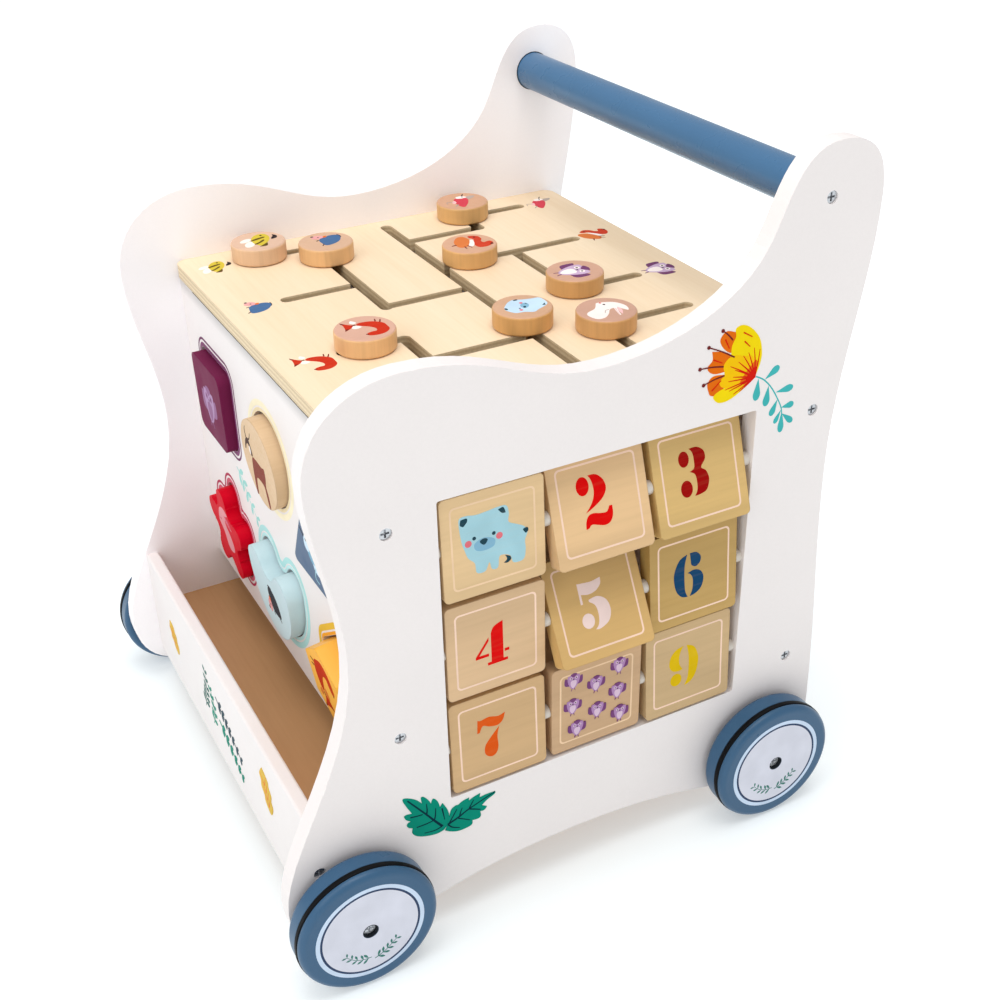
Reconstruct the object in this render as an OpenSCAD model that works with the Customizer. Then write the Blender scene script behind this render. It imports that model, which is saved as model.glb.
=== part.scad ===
// Wooden activity baby walker: two shaped side panels joined by boards and a handle bar,
// with number tiles, a sliding-knob maze, a shape sorter, a catch tray and four wheels.
// Frame: +Z up, +Y from the tray to the handle, origin on the floor under the middle.

/* [Side panels] */
// Clear distance between the two side panels
inner_w = 310; // [290:1:330]
// Thickness of a side panel
panel_t = 12; // [12:0.5:15]
// Side length of the square tile window
window_w = 200; // [198:1:204]
// Middle of the window along Y
window_y = 17; // [10:1:24]
// Lower edge of the window above the floor
window_z = 96; // [92:1:100]

/* [Boards] */
// Thickness of the inner boards
board_t = 9; // [8:0.5:10]
// Height of the maze board's upper face
maze_top = 324.4; // [318:0.2:328]
// Front edge of the maze board
maze_front = -117; // [-122:0.5:-115.5]
// Rear edge of the maze board
maze_back = 168; // [164:0.5:172]
// Front face of the sorter board
sorter_face = -115; // [-116:0.5:-113]
// Lower edge of the sorter board
sorter_foot = 98.5; // [97.5:0.5:104]
// Middle plane of the back board
back_y = 158; // [156:0.5:160]
// Upper face of the floor board
floor_top = 68; // [62:1:72]
// Front face of the tray lip
lip_face = -169; // [-171:0.5:-166]
// Upper edge of the tray lip
lip_top = 110; // [100:1:116]
// Lower edge of the tray lip
lip_foot = 25; // [22:1:40]

/* [Handle] */
// Diameter of the handle bar
handle_d = 25; // [22:0.5:30]
// Handle axis along Y
handle_y = 155.5; // [150:0.5:160]
// Handle axis above the floor
handle_z = 412; // [405:0.5:416]

/* [Wheels] */
// Diameter of the wooden wheel disc
wheel_d = 85.5; // [80:0.5:86]
// Thickness of the wheel disc
wheel_t = 20; // [18:0.5:24]
// Outer diameter of the rubber tyre ring
tyre_d = 86.5; // [86.5:0.5:90]
// Width of the tyre groove
tyre_w = 4; // [3:0.5:5]
// Front axle along Y
axle_front = -147.5; // [-150:0.5:-142]
// Rear axle along Y
axle_back = 139; // [130:0.5:142]

/* [Number tiles] */
// Width of a tile
tile_w = 61.5; // [58:0.5:62.5]
// Height of a tile
tile_h = 62.5; // [58:0.5:63]
// Thickness of a tile
tile_t = 10; // [8:0.5:10]
// Diameter of the rod that a row of tiles turns on
rod_d = 4; // [3:0.5:5]

/* [Maze knobs] */
// Diameter of a maze knob
knob_d = 36; // [30:0.5:37]
// Height of a maze knob
knob_h = 11.8; // [10:0.2:14]
// Width of a maze slot
slot_w = 8; // [7.5:0.5:9]

/* [Sorter blocks] */
// Length of a sorter block
block_l = 25; // [22:1:28]
// Gap between a block and its hole, all round
block_gap = 1.5; // [1.5:0.1:2]

/* [Hidden] */
$fn = 64;

// Side panels
panel_in = inner_w / 2;
panel_out = panel_in + panel_t;
curve_steps = 12;
// Outline of a side panel, clockwise from the front foot: [y, z, heading, pull in, pull out]
outline_keys = [
    [-187, 56, 90, 30, 40],
    [-138, 214, 90, 65, 43],
    [-153, 322, 90, 38, 29],
    [-98, 371.5, 0, 32, 51],
    [14, 346.8, 0, 43, 44.5],
    [115.5, 391, 59, 31, 24],
    [160, 442.5, 0, 29, 22],
    [190.75, 408, -90, 22, 52],
    [172, 244, -90, 66, 67],
    [180, 54, -90, 82, 24],
    [144, 13, 180, 20, 30],
    [0, 34.5, 180, 86, 86],
    [-146, 13, 180, 30, 24]
];

// Tiles
rod_x = panel_out - tile_t / 2 - 1;
rod_r = rod_d / 2;
rod_socket = 8;
tile_pitch = window_w / 3;
tile_spare = window_w - 3 * tile_w;
tile_gaps = [0.13 * tile_spare, 0.28 * tile_spare, 0.28 * tile_spare, 0.31 * tile_spare];
tile_tilt = [-2.5, -18, -18, -0.5, -28, -5, -2.5, 0, -3.5];
tile_corner = 3;
spacer_r = 4.2;
spacer_play = 0.15;

// Screws that hold the boards and the handle: [y, z]
screw_points = [
    [handle_y, handle_z],
    [back_y, 285.5],
    [back_y, 108.5],
    [sorter_face + 3.5, 285.5],
    [sorter_face + 3.5, 153],
    [lip_face + 3, 77.5],
    [lip_face + 3, 44]
];
screw_r = 2;
screw_head_r = 3.7;
screw_l = 32;
screw_sink = 1.1;

// Dowels between the boards and the panels: [y, z]
dowel_points = [
    [-80, maze_top - board_t / 2],
    [125, maze_top - board_t / 2],
    [-100, floor_top - board_t / 2],
    [100, floor_top - board_t / 2]
];
dowel_r = 3;
dowel_in_panel = 8;
dowel_in_board = 16;

// Boards
maze_foot = maze_top - board_t;
sorter_back = sorter_face + board_t;
sorter_head = maze_foot - 3.4;
back_head = maze_foot - 1;
back_front = back_y - board_t / 2;
handle_recess = 4;
maze_corner = 8;
edge_r = 2;

// Maze slots: [x1, y1, x2, y2]
slots = [
    [-131, -76, -131, -28],
    [-131, -28, -12, -28],
    [-54.5, -76, -54.5, -28],
    [-13, -28, -13, 30],
    [-141, 30, 122.5, 30],
    [-107.5, 30, -107.5, 85],
    [-132, 85, -107.5, 85],
    [-132, 85, -132, 130],
    [-54.5, 30, -54.5, 130],
    [-54.5, 84, 21.5, 84],
    [21.5, 84, 21.5, 130],
    [77.5, 69.5, 77.5, 130],
    [77.5, 69.5, 122.5, 69.5],
    [122.5, -76, 122.5, 69.5],
    [35.5, -76, 35.5, -38],
    [35.5, -38, 69, -38],
    [69, -38, 69, 30]
];

// Knob positions in the maze: [x, y]
knob_bee_at = [-131, -66];
knob_hedgehog_at = [-107, -28];
knob_fox_at = [35.5, -62];
knob_bird_at = [-132, 85];
knob_squirrel_at = [-54.5, 51];
knob_owl_at = [21.5, 85];
knob_bear_at = [54, 30];
knob_bunny_at = [82.8, 69.5];
knob_foot = maze_top + 0.3;
knob_edge = 1.5;
stem_r = 3.2;
washer_r = 11;
washer_t = 4;
washer_top = maze_foot - 0.5;

// Sorter shapes: [x, z, how far the block stands proud, how far its outer end droops]
square_at = [-96.3, 248.2, 7.2, 1];
circle_at = [-1, 248, 7.6, 3];
triangle_at = [82, 229.5, 8, 3];
flower_at = [-96.5, 148, 8, 3];
heart_at = [-3, 149, 9.4, 4];
hexagon_at = [92, 143.9, 11, 8];
sorter_at = [square_at, circle_at, triangle_at, flower_at, heart_at, hexagon_at];
block_drop = 0.8;

// Wheels
wheel_r = wheel_d / 2;
tyre_r = tyre_d / 2;
axle_z = tyre_r;
axle_r = 3;
axle_bore_r = 3.08;
washer_face = 2.6;
wheel_play = 0.4;
wheel_in = panel_out + washer_face + wheel_play;
wheel_out = wheel_in + wheel_t;
wheel_edge = 4;
groove_mid = 13.6;
groove_depth = 2.5;
hub_recess_r = 4.8;
hub_recess = 6;
bolt_head_r = 4;
bolt_head_t = 3.2;
nut_flange_r = 9;
nut_flange_t = 1.5;
nut_barrel_r = 4;
nut_barrel_l = 9;

wood = [0.86, 0.72, 0.52];
white = [0.96, 0.94, 0.92];
blue = [0.27, 0.43, 0.56];
steel = [0.7, 0.7, 0.72];

// Cubic curve between two outline keys
function bez(a, b, c, d, t) =
    pow(1 - t, 3) * a + 3 * pow(1 - t, 2) * t * b + 3 * (1 - t) * t * t * c + pow(t, 3) * d;
function key_point(k) = [k[0], k[1]];
function heading(k) = [cos(k[2]), sin(k[2])];
function key_curve(a, b) = [
    for (i = [0 : curve_steps - 1])
        bez(key_point(a), key_point(a) + a[4] * heading(a),
            key_point(b) - b[3] * heading(b), key_point(b), i / curve_steps)
];
function polar(r, a) = r * [cos(a), sin(a)];
// Points along an arc about c from angle a to angle b
function arc(c, r, a, b, steps) = [for (i = [0 : steps]) c + polar(r, a + (b - a) * i / steps)];
function outline_points() = [
    for (i = [0 : len(outline_keys) - 1])
        each key_curve(outline_keys[i], outline_keys[(i + 1) % len(outline_keys)])
];

// Stands a flat shape, drawn as [y, z], up across the X axis, from x to x + t
module across_x(x, t) {
    translate([x, 0, 0]) rotate([90, 0, 90]) linear_extrude(t) children();
}
// Cylinder along X from x with length l
module rod_x_at(x, y, z, r, l) {
    translate([x, y, z]) rotate([0, 90, 0]) cylinder(r = r, h = l);
}
// Both sides of the walker
module both_sides() {
    children();
    mirror([1, 0, 0]) children();
}
// Rectangle with round corners, centred
module round_rect(w, h, r) {
    square([w, h - 2 * r], center = true);
    square([w - 2 * r, h], center = true);
    for (sx = [-1, 1], sy = [-1, 1])
        translate([sx * (w / 2 - r), sy * (h / 2 - r)]) circle(r);
}
// Straight slot with round ends between two points
module slot(s) {
    d = [s[2] - s[0], s[3] - s[1]];
    translate([s[0], s[1]]) rotate(atan2(d[1], d[0])) {
        translate([0, -slot_w / 2]) square([norm(d), slot_w]);
        circle(slot_w / 2);
        translate([norm(d), 0]) circle(slot_w / 2);
    }
}
// Board across the walker, from its low corner [y, z] with size [y, z]
module cross_board(y, z, dy, dz) {
    translate([-panel_in, y, z]) cube([inner_w, dy, dz]);
}

// Holes of the right side panel, without the window
module panel_holes() {
    for (p = screw_points) {
        rod_x_at(panel_in - 1, p[0], p[1], screw_r, panel_t + 2);
        rod_x_at(panel_out - screw_sink - 3, p[0], p[1], screw_head_r, screw_sink + 4);
    }
    rod_x_at(panel_in - 1, handle_y, handle_z, handle_d / 2, handle_recess + 1);
    for (p = dowel_points)
        rod_x_at(panel_in - 1, p[0], p[1], dowel_r, dowel_in_panel + 1);
    for (y = [axle_front, axle_back]) {
        rod_x_at(panel_in - 1, y, axle_z, axle_r, panel_t + 2);
        rod_x_at(panel_in - 1, y, axle_z, nut_barrel_r, nut_barrel_l + 1);
    }
}

module side_panel_right() {
    color(white) difference() {
        across_x(panel_in, panel_t) difference() {
            polygon(outline_points());
            translate([window_y, window_z + window_w / 2]) round_rect(window_w, window_w, 1.5);
        }
        panel_holes();
        for (row = [0 : 2])
            translate([rod_x, window_y - window_w / 2 - rod_socket, rod_z(row)])
                rotate([-90, 0, 0]) cylinder(r = rod_r, h = window_w + 2 * rod_socket);
    }
}

module side_panel_left() {
    color(white) mirror([1, 0, 0]) difference() {
        across_x(panel_in, panel_t) polygon(outline_points());
        panel_holes();
    }
}

// Holes for the screws and dowels in the ends of the boards
module board_holes() {
    both_sides() {
        for (p = screw_points)
            rod_x_at(panel_out - screw_sink - screw_l - 0.5, p[0], p[1], screw_r, screw_l);
        for (p = dowel_points)
            rod_x_at(panel_in - dowel_in_board, p[0], p[1], dowel_r, dowel_in_board + 1);
    }
}

module maze_board() {
    length_y = maze_back - maze_front;
    color(wood) difference() {
        translate([0, 0, maze_foot]) linear_extrude(board_t) difference() {
            translate([0, (maze_front + maze_back) / 2])
                round_rect(inner_w, length_y, maze_corner);
            for (s = slots) slot(s);
        }
        board_holes();
    }
}

module sorter_board() {
    color(white) difference() {
        cross_board(sorter_face, sorter_foot, board_t, sorter_head - sorter_foot);
        for (i = [0 : 5]) sorter_hole(i);
        board_holes();
    }
}

module back_board() {
    color(white) difference() {
        cross_board(back_front, floor_top - board_t, board_t, back_head - floor_top + board_t);
        board_holes();
    }
}

module floor_board() {
    y = lip_face + board_t;
    color(wood) difference() {
        cross_board(y, floor_top - board_t, back_front - y, board_t);
        board_holes();
    }
}

module tray_lip() {
    height = lip_top - lip_foot;
    color(white) difference() {
        across_x(-panel_in, inner_w)
            translate([lip_face + board_t / 2, lip_foot + height / 2])
                round_rect(board_t, height, edge_r);
        board_holes();
    }
}

module handle_bar() {
    l = inner_w + 2 * handle_recess;
    color(blue) difference() {
        rod_x_at(-l / 2, handle_y, handle_z, handle_d / 2, l);
        board_holes();
    }
}

// Countersunk cross-head screw along -X, its head at x = 0
module screw() {
    difference() {
        rotate([0, -90, 0]) rotate_extrude() polygon([
            [0, 0], [screw_head_r, 0], [screw_head_r, 0.8], [screw_r, 3],
            [screw_r, screw_l - 4], [0, screw_l]
        ]);
        for (a = [0, 90])
            rotate([a, 0, 0]) translate([-1.6, -2.4, -0.55]) cube([3, 4.8, 1.1]);
    }
}

module panel_screws() {
    color(steel) both_sides()
        for (p = screw_points)
            translate([panel_out - screw_sink, p[0], p[1]]) screw();
}

module board_dowels() {
    color(wood) both_sides()
        for (p = dowel_points)
            rod_x_at(panel_in - dowel_in_board, p[0], p[1], dowel_r,
                     dowel_in_board + dowel_in_panel);
}

// Number tiles: height of a row's rod, top row first
function rod_z(row) = window_z + window_w - (row + 0.5) * tile_pitch;
// Low side of the gap before a column; the fourth gap closes the row
function gap_y(col) = window_y - window_w / 2 + col * tile_w + (col > 0 ? tile_gaps[0] : 0)
    + (col > 1 ? tile_gaps[1] : 0) + (col > 2 ? tile_gaps[2] : 0);
function column_y(col) = gap_y(col) + tile_gaps[col] + tile_w / 2;

module tile_rods() {
    color(steel)
        for (row = [0 : 2])
            translate([rod_x, window_y - window_w / 2 - rod_socket, rod_z(row)])
                rotate([-90, 0, 0]) cylinder(r = rod_r, h = window_w + 2 * rod_socket);
}

// Spacer tube on a rod, from y with length l
module spacer(y, z, l) {
    translate([rod_x, y, z]) rotate([-90, 0, 0]) difference() {
        cylinder(r = spacer_r, h = l);
        translate([0, 0, -1]) cylinder(r = rod_r, h = l + 2);
    }
}

module tile_spacers() {
    color(white)
        for (row = [0 : 2]) {
            spacer(gap_y(0), rod_z(row), tile_gaps[0] - spacer_play);
            spacer(gap_y(3) + spacer_play, rod_z(row), tile_gaps[3] - spacer_play);
            for (gap = [1, 2])
                spacer(gap_y(gap) + spacer_play, rod_z(row), tile_gaps[gap] - 2 * spacer_play);
        }
}

// One tile, hung on its rod and tilted as it rests
module tile(number) {
    row = floor((number - 1) / 3);
    col = (number - 1) % 3;
    color(wood)
        translate([rod_x, column_y(col), rod_z(row)]) rotate([0, tile_tilt[number - 1], 0])
            difference() {
                translate([-tile_t / 2, 0, 0]) rotate([90, 0, 90]) linear_extrude(tile_t)
                    round_rect(tile_w, tile_h, tile_corner);
                translate([0, -tile_w / 2 - 1, 0]) rotate([-90, 0, 0])
                    cylinder(r = rod_r + 0.08, h = tile_w + 2);
            }
}

// Knob with its stem, turned in one piece
module knob(at) {
    r = knob_d / 2;
    stem_l = knob_foot - washer_top + washer_t;
    color(wood) translate([at[0], at[1], knob_foot]) rotate_extrude() {
        translate([0, knob_edge]) square([r, knob_h - 2 * knob_edge]);
        square([r - knob_edge, knob_h]);
        for (z = [knob_edge, knob_h - knob_edge])
            translate([r - knob_edge, z]) circle(knob_edge);
        translate([0, -stem_l]) square([stem_r, stem_l + 1]);
    }
}

// Wooden washer glued to the stem under the board
module stem_washer(at) {
    color(wood) translate([at[0], at[1], washer_top - washer_t]) difference() {
        cylinder(r = washer_r, h = washer_t);
        translate([0, 0, -1]) cylinder(r = stem_r, h = washer_t + 2);
    }
}

// Flat shapes of the sorter about their own middle, grown by g
module square_shape(g) {
    round_rect(54.5 + 2 * g, 54.5 + 2 * g, 6 + g);
}
module circle_shape(g) {
    circle(29 + g);
}
module triangle_shape(g) {
    polygon([for (a = [90, 210, 330]) each arc(polar(34, a), 3 + g, a - 60, a + 60, 6)]);
}
module flower_shape(g) {
    lobe = 8.5;
    reach = 25.7;
    difference() {
        union() {
            circle(25 + g);
            for (i = [0 : 4]) rotate(90 + 72 * i) {
                translate([reach, 0]) circle(lobe + g);
                translate([0, -lobe - g]) square([reach, 2 * (lobe + g)]);
            }
        }
        for (i = [0 : 4]) rotate(126 + 72 * i) translate([27, 0]) circle(6.5 - g);
    }
}
module heart_shape(g) {
    notch = [0, 29.5];
    lobe = [22.3, 14.6];
    meet = atan2(notch[1] - lobe[1], -lobe[0]);
    half = [
        each arc(notch, 13.5 - g, -90, meet - 180, 5),
        each arc(lobe, 13.3 + g, meet - 8, 6, 14),
        each arc([-2.7, 11], 38.5 + g, 2, -85, 16)
    ];
    polygon([
        each half,
        for (i = [len(half) - 1 : -1 : 1]) [-half[i][0], half[i][1]]
    ]);
}
module hexagon_shape(g) {
    polygon([
        for (a = [35 : 60 : 335]) each arc(polar(26.3, a), 3 + g, a - 30, a + 30, 4)
    ]);
}
module sorter_shape(i, g) {
    if (i == 0) square_shape(g);
    if (i == 1) circle_shape(g);
    if (i == 2) triangle_shape(g);
    if (i == 3) flower_shape(g);
    if (i == 4) heart_shape(g);
    if (i == 5) hexagon_shape(g);
}
// Extrudes a shape drawn as [x, z] along +Y from y
module prism_y(y, l) {
    translate([0, y + l, 0]) rotate([90, 0, 0]) linear_extrude(l) children();
}
// Hole in the sorter board for shape i
module sorter_hole(i) {
    at = sorter_at[i];
    translate([at[0], 0, at[1]]) prism_y(sorter_face - 1, board_t + 2)
        sorter_shape(i, block_gap);
}
// Block i as it hangs in its hole, its outer end a little low
module block(i, c) {
    at = sorter_at[i];
    color(c) translate([at[0], sorter_face, at[1] - block_drop]) rotate([at[3], 0, 0])
        prism_y(-at[2], block_l) sorter_shape(i, 0);
}

// Half profile of the wheel disc: [radius, distance from its inner face]
module wheel_profile() {
    difference() {
        union() {
            translate([0, wheel_edge]) square([wheel_r, wheel_t - 2 * wheel_edge]);
            square([wheel_r - wheel_edge, wheel_t]);
            for (z = [wheel_edge, wheel_t - wheel_edge])
                translate([wheel_r - wheel_edge, z]) circle(wheel_edge);
        }
        translate([wheel_r - groove_depth, groove_mid - tyre_w / 2]) square([groove_depth + 1, tyre_w]);
        translate([-1, -1]) square([1 + axle_bore_r, wheel_t + 2]);
        translate([-1, wheel_t - hub_recess]) square([1 + hub_recess_r, hub_recess + 1]);
        translate([-wheel_r, -1]) square([wheel_r, wheel_t + 2]);
    }
}
module wheel(y) {
    color(blue) translate([wheel_in, y, axle_z]) rotate([0, 90, 0])
        rotate_extrude() wheel_profile();
}
module tyre(y) {
    w = tyre_w - 0.2;
    color([0.08, 0.08, 0.09])
        translate([wheel_in + groove_mid - w / 2, y, axle_z]) rotate([0, 90, 0])
            rotate_extrude() {
                r = wheel_r - groove_depth;
                translate([r, 0]) square([tyre_r - r - 1, w]);
                translate([r, 1]) square([tyre_r - r, w - 2]);
                for (z = [1, w - 1]) translate([tyre_r - 1, z]) circle(1);
            }
}

module axle_bolts() {
    head_x = wheel_out - hub_recess + 0.3;
    color(steel) both_sides()
        for (y = [axle_front, axle_back]) difference() {
            union() {
                rod_x_at(panel_in - 1, y, axle_z, axle_r, head_x - panel_in + 1);
                rod_x_at(head_x, y, axle_z, bolt_head_r, bolt_head_t);
            }
            for (a = [0, 90])
                translate([head_x + bolt_head_t - 1.6, y, axle_z]) rotate([a, 0, 0])
                    translate([0, -3, -0.6]) cube([3, 6, 1.2]);
        }
}
module axle_washers() {
    color(steel) both_sides()
        for (y = [axle_front, axle_back]) difference() {
            rod_x_at(panel_out, y, axle_z, 8, washer_face);
            rod_x_at(panel_out - 1, y, axle_z, axle_r, washer_face + 2);
        }
}
module axle_nuts() {
    color(steel) both_sides()
        for (y = [axle_front, axle_back]) difference() {
            union() {
                rod_x_at(panel_in - nut_flange_t, y, axle_z, nut_flange_r, nut_flange_t);
                rod_x_at(panel_in - nut_flange_t, y, axle_z, nut_barrel_r,
                         nut_flange_t + nut_barrel_l);
            }
            rod_x_at(panel_in - 3, y, axle_z, axle_r, nut_barrel_l + 4);
        }
}

side_panel_right();
side_panel_left();
maze_board();
sorter_board();
back_board();
floor_board();
tray_lip();
handle_bar();
panel_screws();
board_dowels();
tile_rods();
tile_spacers();
axle_bolts();
axle_washers();
axle_nuts();
tile(1);  // tile_1
tile(2);  // tile_2
tile(3);  // tile_3
tile(4);  // tile_4
tile(5);  // tile_5
tile(6);  // tile_6
tile(7);  // tile_7
tile(8);  // tile_8
tile(9);  // tile_9
knob(knob_bee_at);  // knob_bee
knob(knob_hedgehog_at);  // knob_hedgehog
knob(knob_fox_at);  // knob_fox
knob(knob_bird_at);  // knob_bird
knob(knob_squirrel_at);  // knob_squirrel
knob(knob_owl_at);  // knob_owl
knob(knob_bear_at);  // knob_bear
knob(knob_bunny_at);  // knob_bunny
stem_washer(knob_bee_at);  // washer_bee
stem_washer(knob_hedgehog_at);  // washer_hedgehog
stem_washer(knob_fox_at);  // washer_fox
stem_washer(knob_bird_at);  // washer_bird
stem_washer(knob_squirrel_at);  // washer_squirrel
stem_washer(knob_owl_at);  // washer_owl
stem_washer(knob_bear_at);  // washer_bear
stem_washer(knob_bunny_at);  // washer_bunny
block(0, [0.42, 0.16, 0.32]);  // block_square
block(1, wood);  // block_circle
block(2, [0.3, 0.42, 0.55]);  // block_triangle
block(3, [0.75, 0.05, 0.15]);  // block_flower
block(4, [0.68, 0.85, 0.85]);  // block_heart
block(5, [0.9, 0.58, 0.2]);  // block_hexagon
wheel(axle_front);  // wheel_front_right
mirror([1, 0, 0]) wheel(axle_front);  // wheel_front_left
wheel(axle_back);  // wheel_back_right
mirror([1, 0, 0]) wheel(axle_back);  // wheel_back_left
tyre(axle_front);  // tyre_front_right
mirror([1, 0, 0]) tyre(axle_front);  // tyre_front_left
tyre(axle_back);  // tyre_back_right
mirror([1, 0, 0]) tyre(axle_back);  // tyre_back_left
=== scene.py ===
"""Looks of a wooden baby walker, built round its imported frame."""
import math
import random

import bpy
import bmesh
from mathutils import Matrix, Vector
from mathutils.geometry import tessellate_polygon


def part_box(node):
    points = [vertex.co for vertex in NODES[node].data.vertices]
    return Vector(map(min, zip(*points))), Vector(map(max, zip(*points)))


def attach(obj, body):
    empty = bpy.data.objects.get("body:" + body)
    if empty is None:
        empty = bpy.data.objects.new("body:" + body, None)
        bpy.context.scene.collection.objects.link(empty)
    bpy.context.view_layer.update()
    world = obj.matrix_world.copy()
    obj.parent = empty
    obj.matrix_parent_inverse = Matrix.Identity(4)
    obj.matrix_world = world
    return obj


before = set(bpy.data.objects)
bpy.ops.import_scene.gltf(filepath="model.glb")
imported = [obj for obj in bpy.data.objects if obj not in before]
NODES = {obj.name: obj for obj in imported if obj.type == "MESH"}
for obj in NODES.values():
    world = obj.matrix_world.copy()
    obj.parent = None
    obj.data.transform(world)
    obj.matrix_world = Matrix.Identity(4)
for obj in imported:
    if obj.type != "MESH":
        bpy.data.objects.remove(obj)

MM = 0.001
X_AXIS, Y_AXIS, Z_AXIS = 0, 1, 2
UP, FRONT, BACK, RIGHT, LEFT = (0, 0, 1), (0, -1, 0), (0, 1, 0), (1, 0, 0), (-1, 0, 0)
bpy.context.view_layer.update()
scene = bpy.context.scene
scene.view_settings.view_transform = "Standard"


# ---------------------------------------------------------------- colours
def rgb(red, green, blue):
    """A screen colour from 0 to 255 as linear RGBA."""
    out = []
    for c in (red, green, blue):
        c /= 255
        out.append(c / 12.92 if c <= 0.04045 else ((c + 0.055) / 1.055) ** 2.4)
    return (*out, 1.0)


def shade(colour, by):
    """A linear colour, lighter or darker by a factor."""
    return (*(min(1.0, c * by) for c in colour[:3]), 1.0)


# ---------------------------------------------------------------- materials
PLY = 1.5 * MM  # thickness of one ply


class Finish:
    """Builds one node material on the object's own coordinates."""

    def __init__(self, name, metallic=0.0, coat=0.0, coat_rough=0.1, gloss=0.5):
        self.mat = bpy.data.materials.new(name)
        self.mat.use_nodes = True
        self.tree = self.mat.node_tree
        self.tree.nodes.clear()
        out = self.node("ShaderNodeOutputMaterial")
        self.shader = self.node("ShaderNodeBsdfPrincipled")
        self.join(self.shader.outputs[0], out.inputs[0])
        self.coord = self.node("ShaderNodeTexCoord")
        self.place = self.coord.outputs["Object"]
        for key, value in (("Metallic", metallic), ("Coat Weight", coat),
                           ("Coat Roughness", coat_rough), ("Specular IOR Level", gloss)):
            self.shader.inputs[key].default_value = value

    def node(self, kind, **settings):
        made = self.tree.nodes.new(kind)
        for key, value in settings.items():
            setattr(made, key, value)
        return made

    def join(self, source, socket):
        self.tree.links.new(source, socket)

    def put(self, socket, value):
        if isinstance(value, bpy.types.NodeSocket):
            self.join(value, socket)
        else:
            socket.default_value = value

    def noise(self, scale, detail=2.0, stretch=None, warp=0.0, rough=0.5):
        made = self.node("ShaderNodeTexNoise")
        place = self.place
        if stretch:
            mapping = self.node("ShaderNodeMapping")
            mapping.inputs["Scale"].default_value = stretch
            self.join(place, mapping.inputs["Vector"])
            place = mapping.outputs[0]
        self.join(place, made.inputs["Vector"])
        for key, value in (("Scale", scale), ("Detail", detail), ("Distortion", warp),
                           ("Roughness", rough)):
            made.inputs[key].default_value = value
        return made.outputs["Fac"]

    def span(self, value, low, high, to_low=0.0, to_high=1.0):
        made = self.node("ShaderNodeMapRange")
        for key, item in zip(range(5), (value, low, high, to_low, to_high)):
            self.put(made.inputs[key], item)
        return made.outputs[0]

    def mix(self, fac, a, b, blend="MIX"):
        made = self.node("ShaderNodeMix", data_type="RGBA", blend_type=blend)
        self.put(made.inputs[0], fac)
        self.put(made.inputs[6], a)
        self.put(made.inputs[7], b)
        return made.outputs[2]

    def math(self, op, a, b=0.0):
        made = self.node("ShaderNodeMath", operation=op)
        self.put(made.inputs[0], a)
        self.put(made.inputs[1], b)
        return made.outputs[0]

    def axis(self, which, source=None):
        made = self.node("ShaderNodeSeparateXYZ")
        self.join(source or self.place, made.inputs[0])
        return made.outputs[which]

    def soft_edge(self, radius, low=0.86, high=0.992):
        """Rounded normal and a mask that is 1 on edges."""
        bevel = self.node("ShaderNodeBevel", samples=4)
        bevel.inputs["Radius"].default_value = radius
        flat = self.node("ShaderNodeNewGeometry")
        dot = self.node("ShaderNodeVectorMath", operation="DOT_PRODUCT")
        self.join(bevel.outputs[0], dot.inputs[0])
        self.join(flat.outputs["Normal"], dot.inputs[1])
        return bevel.outputs[0], self.span(dot.outputs["Value"], low, high, 1.0, 0.0)

    def bump(self, height, strength, depth, normal=None):
        made = self.node("ShaderNodeBump")
        made.inputs["Strength"].default_value = strength
        made.inputs["Distance"].default_value = depth
        self.join(height, made.inputs["Height"])
        if normal:
            self.join(normal, made.inputs["Normal"])
        return made.outputs[0]

    def done(self, colour, roughness, normal):
        self.put(self.shader.inputs["Base Color"], colour)
        self.put(self.shader.inputs["Roughness"], roughness)
        if normal:
            self.join(normal, self.shader.inputs["Normal"])
        return self.mat


def paint(name, colour, rough=0.4, round_by=0.0012, worn=None, wear=0.35, vary=0.03,
          gloss=0.4, turned=True, painted_shade_band=None):
    """Sprayed paint on wood: faint mottling, orange peel, and edges rubbed a little.

    Its edges shade as rounded if turned. Given two heights, it gets a band of painted shade that
    darkens from the lower height to the upper.
    """
    f = Finish(name, coat_rough=0.12, gloss=gloss)
    broad = f.noise(13, 3)
    peel = f.noise(620, 2)
    base = f.mix(f.span(broad, 0.32, 0.68), shade(colour, 1 - vary), shade(colour, 1 + vary))
    base = f.mix(f.span(peel, 0.3, 0.75, 0.0, 0.12), base, shade(colour, 0.86))
    normal, edge = f.soft_edge(round_by)
    rubbed = f.math("MULTIPLY", edge, f.span(f.noise(160, 3), 0.45, 0.72, 0.0, wear))
    base = f.mix(rubbed, base, worn or shade(colour, 1.35))
    # Painted shade: darker towards the upper of the two heights
    if painted_shade_band:
        base = f.mix(f.span(f.axis(Z_AXIS), *painted_shade_band, 0.0, 0.7), base, shade(colour, 0.62))
    roughness = f.span(f.noise(48, 3), 0.3, 0.7, rough - 0.05, rough + 0.07)
    return f.done(base, roughness, f.bump(peel, 0.16, 0.00025, normal if turned else None))


def ink(name, colour, grain=0.0):
    """Printed ink: a thin film with faint speckle, and the wood grain under it."""
    f = Finish(name, gloss=0.03)
    speck = f.noise(1500, 2)
    base = f.mix(f.span(f.noise(60, 2), 0.3, 0.7), shade(colour, 0.95), shade(colour, 1.05))
    base = f.mix(f.span(speck, 0.5, 0.8, 0.0, 0.12), base, shade(colour, 1.25))
    if grain:
        lines = f.noise(420, 3, (1, 0.06, 1))
        base = f.mix(f.span(lines, 0.5, 0.75, 0.0, grain), base, rgb(205, 165, 118))
    return f.done(base, f.span(speck, 0.3, 0.7, 0.38, 0.48), f.bump(speck, 0.08, 0.0001))


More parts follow.
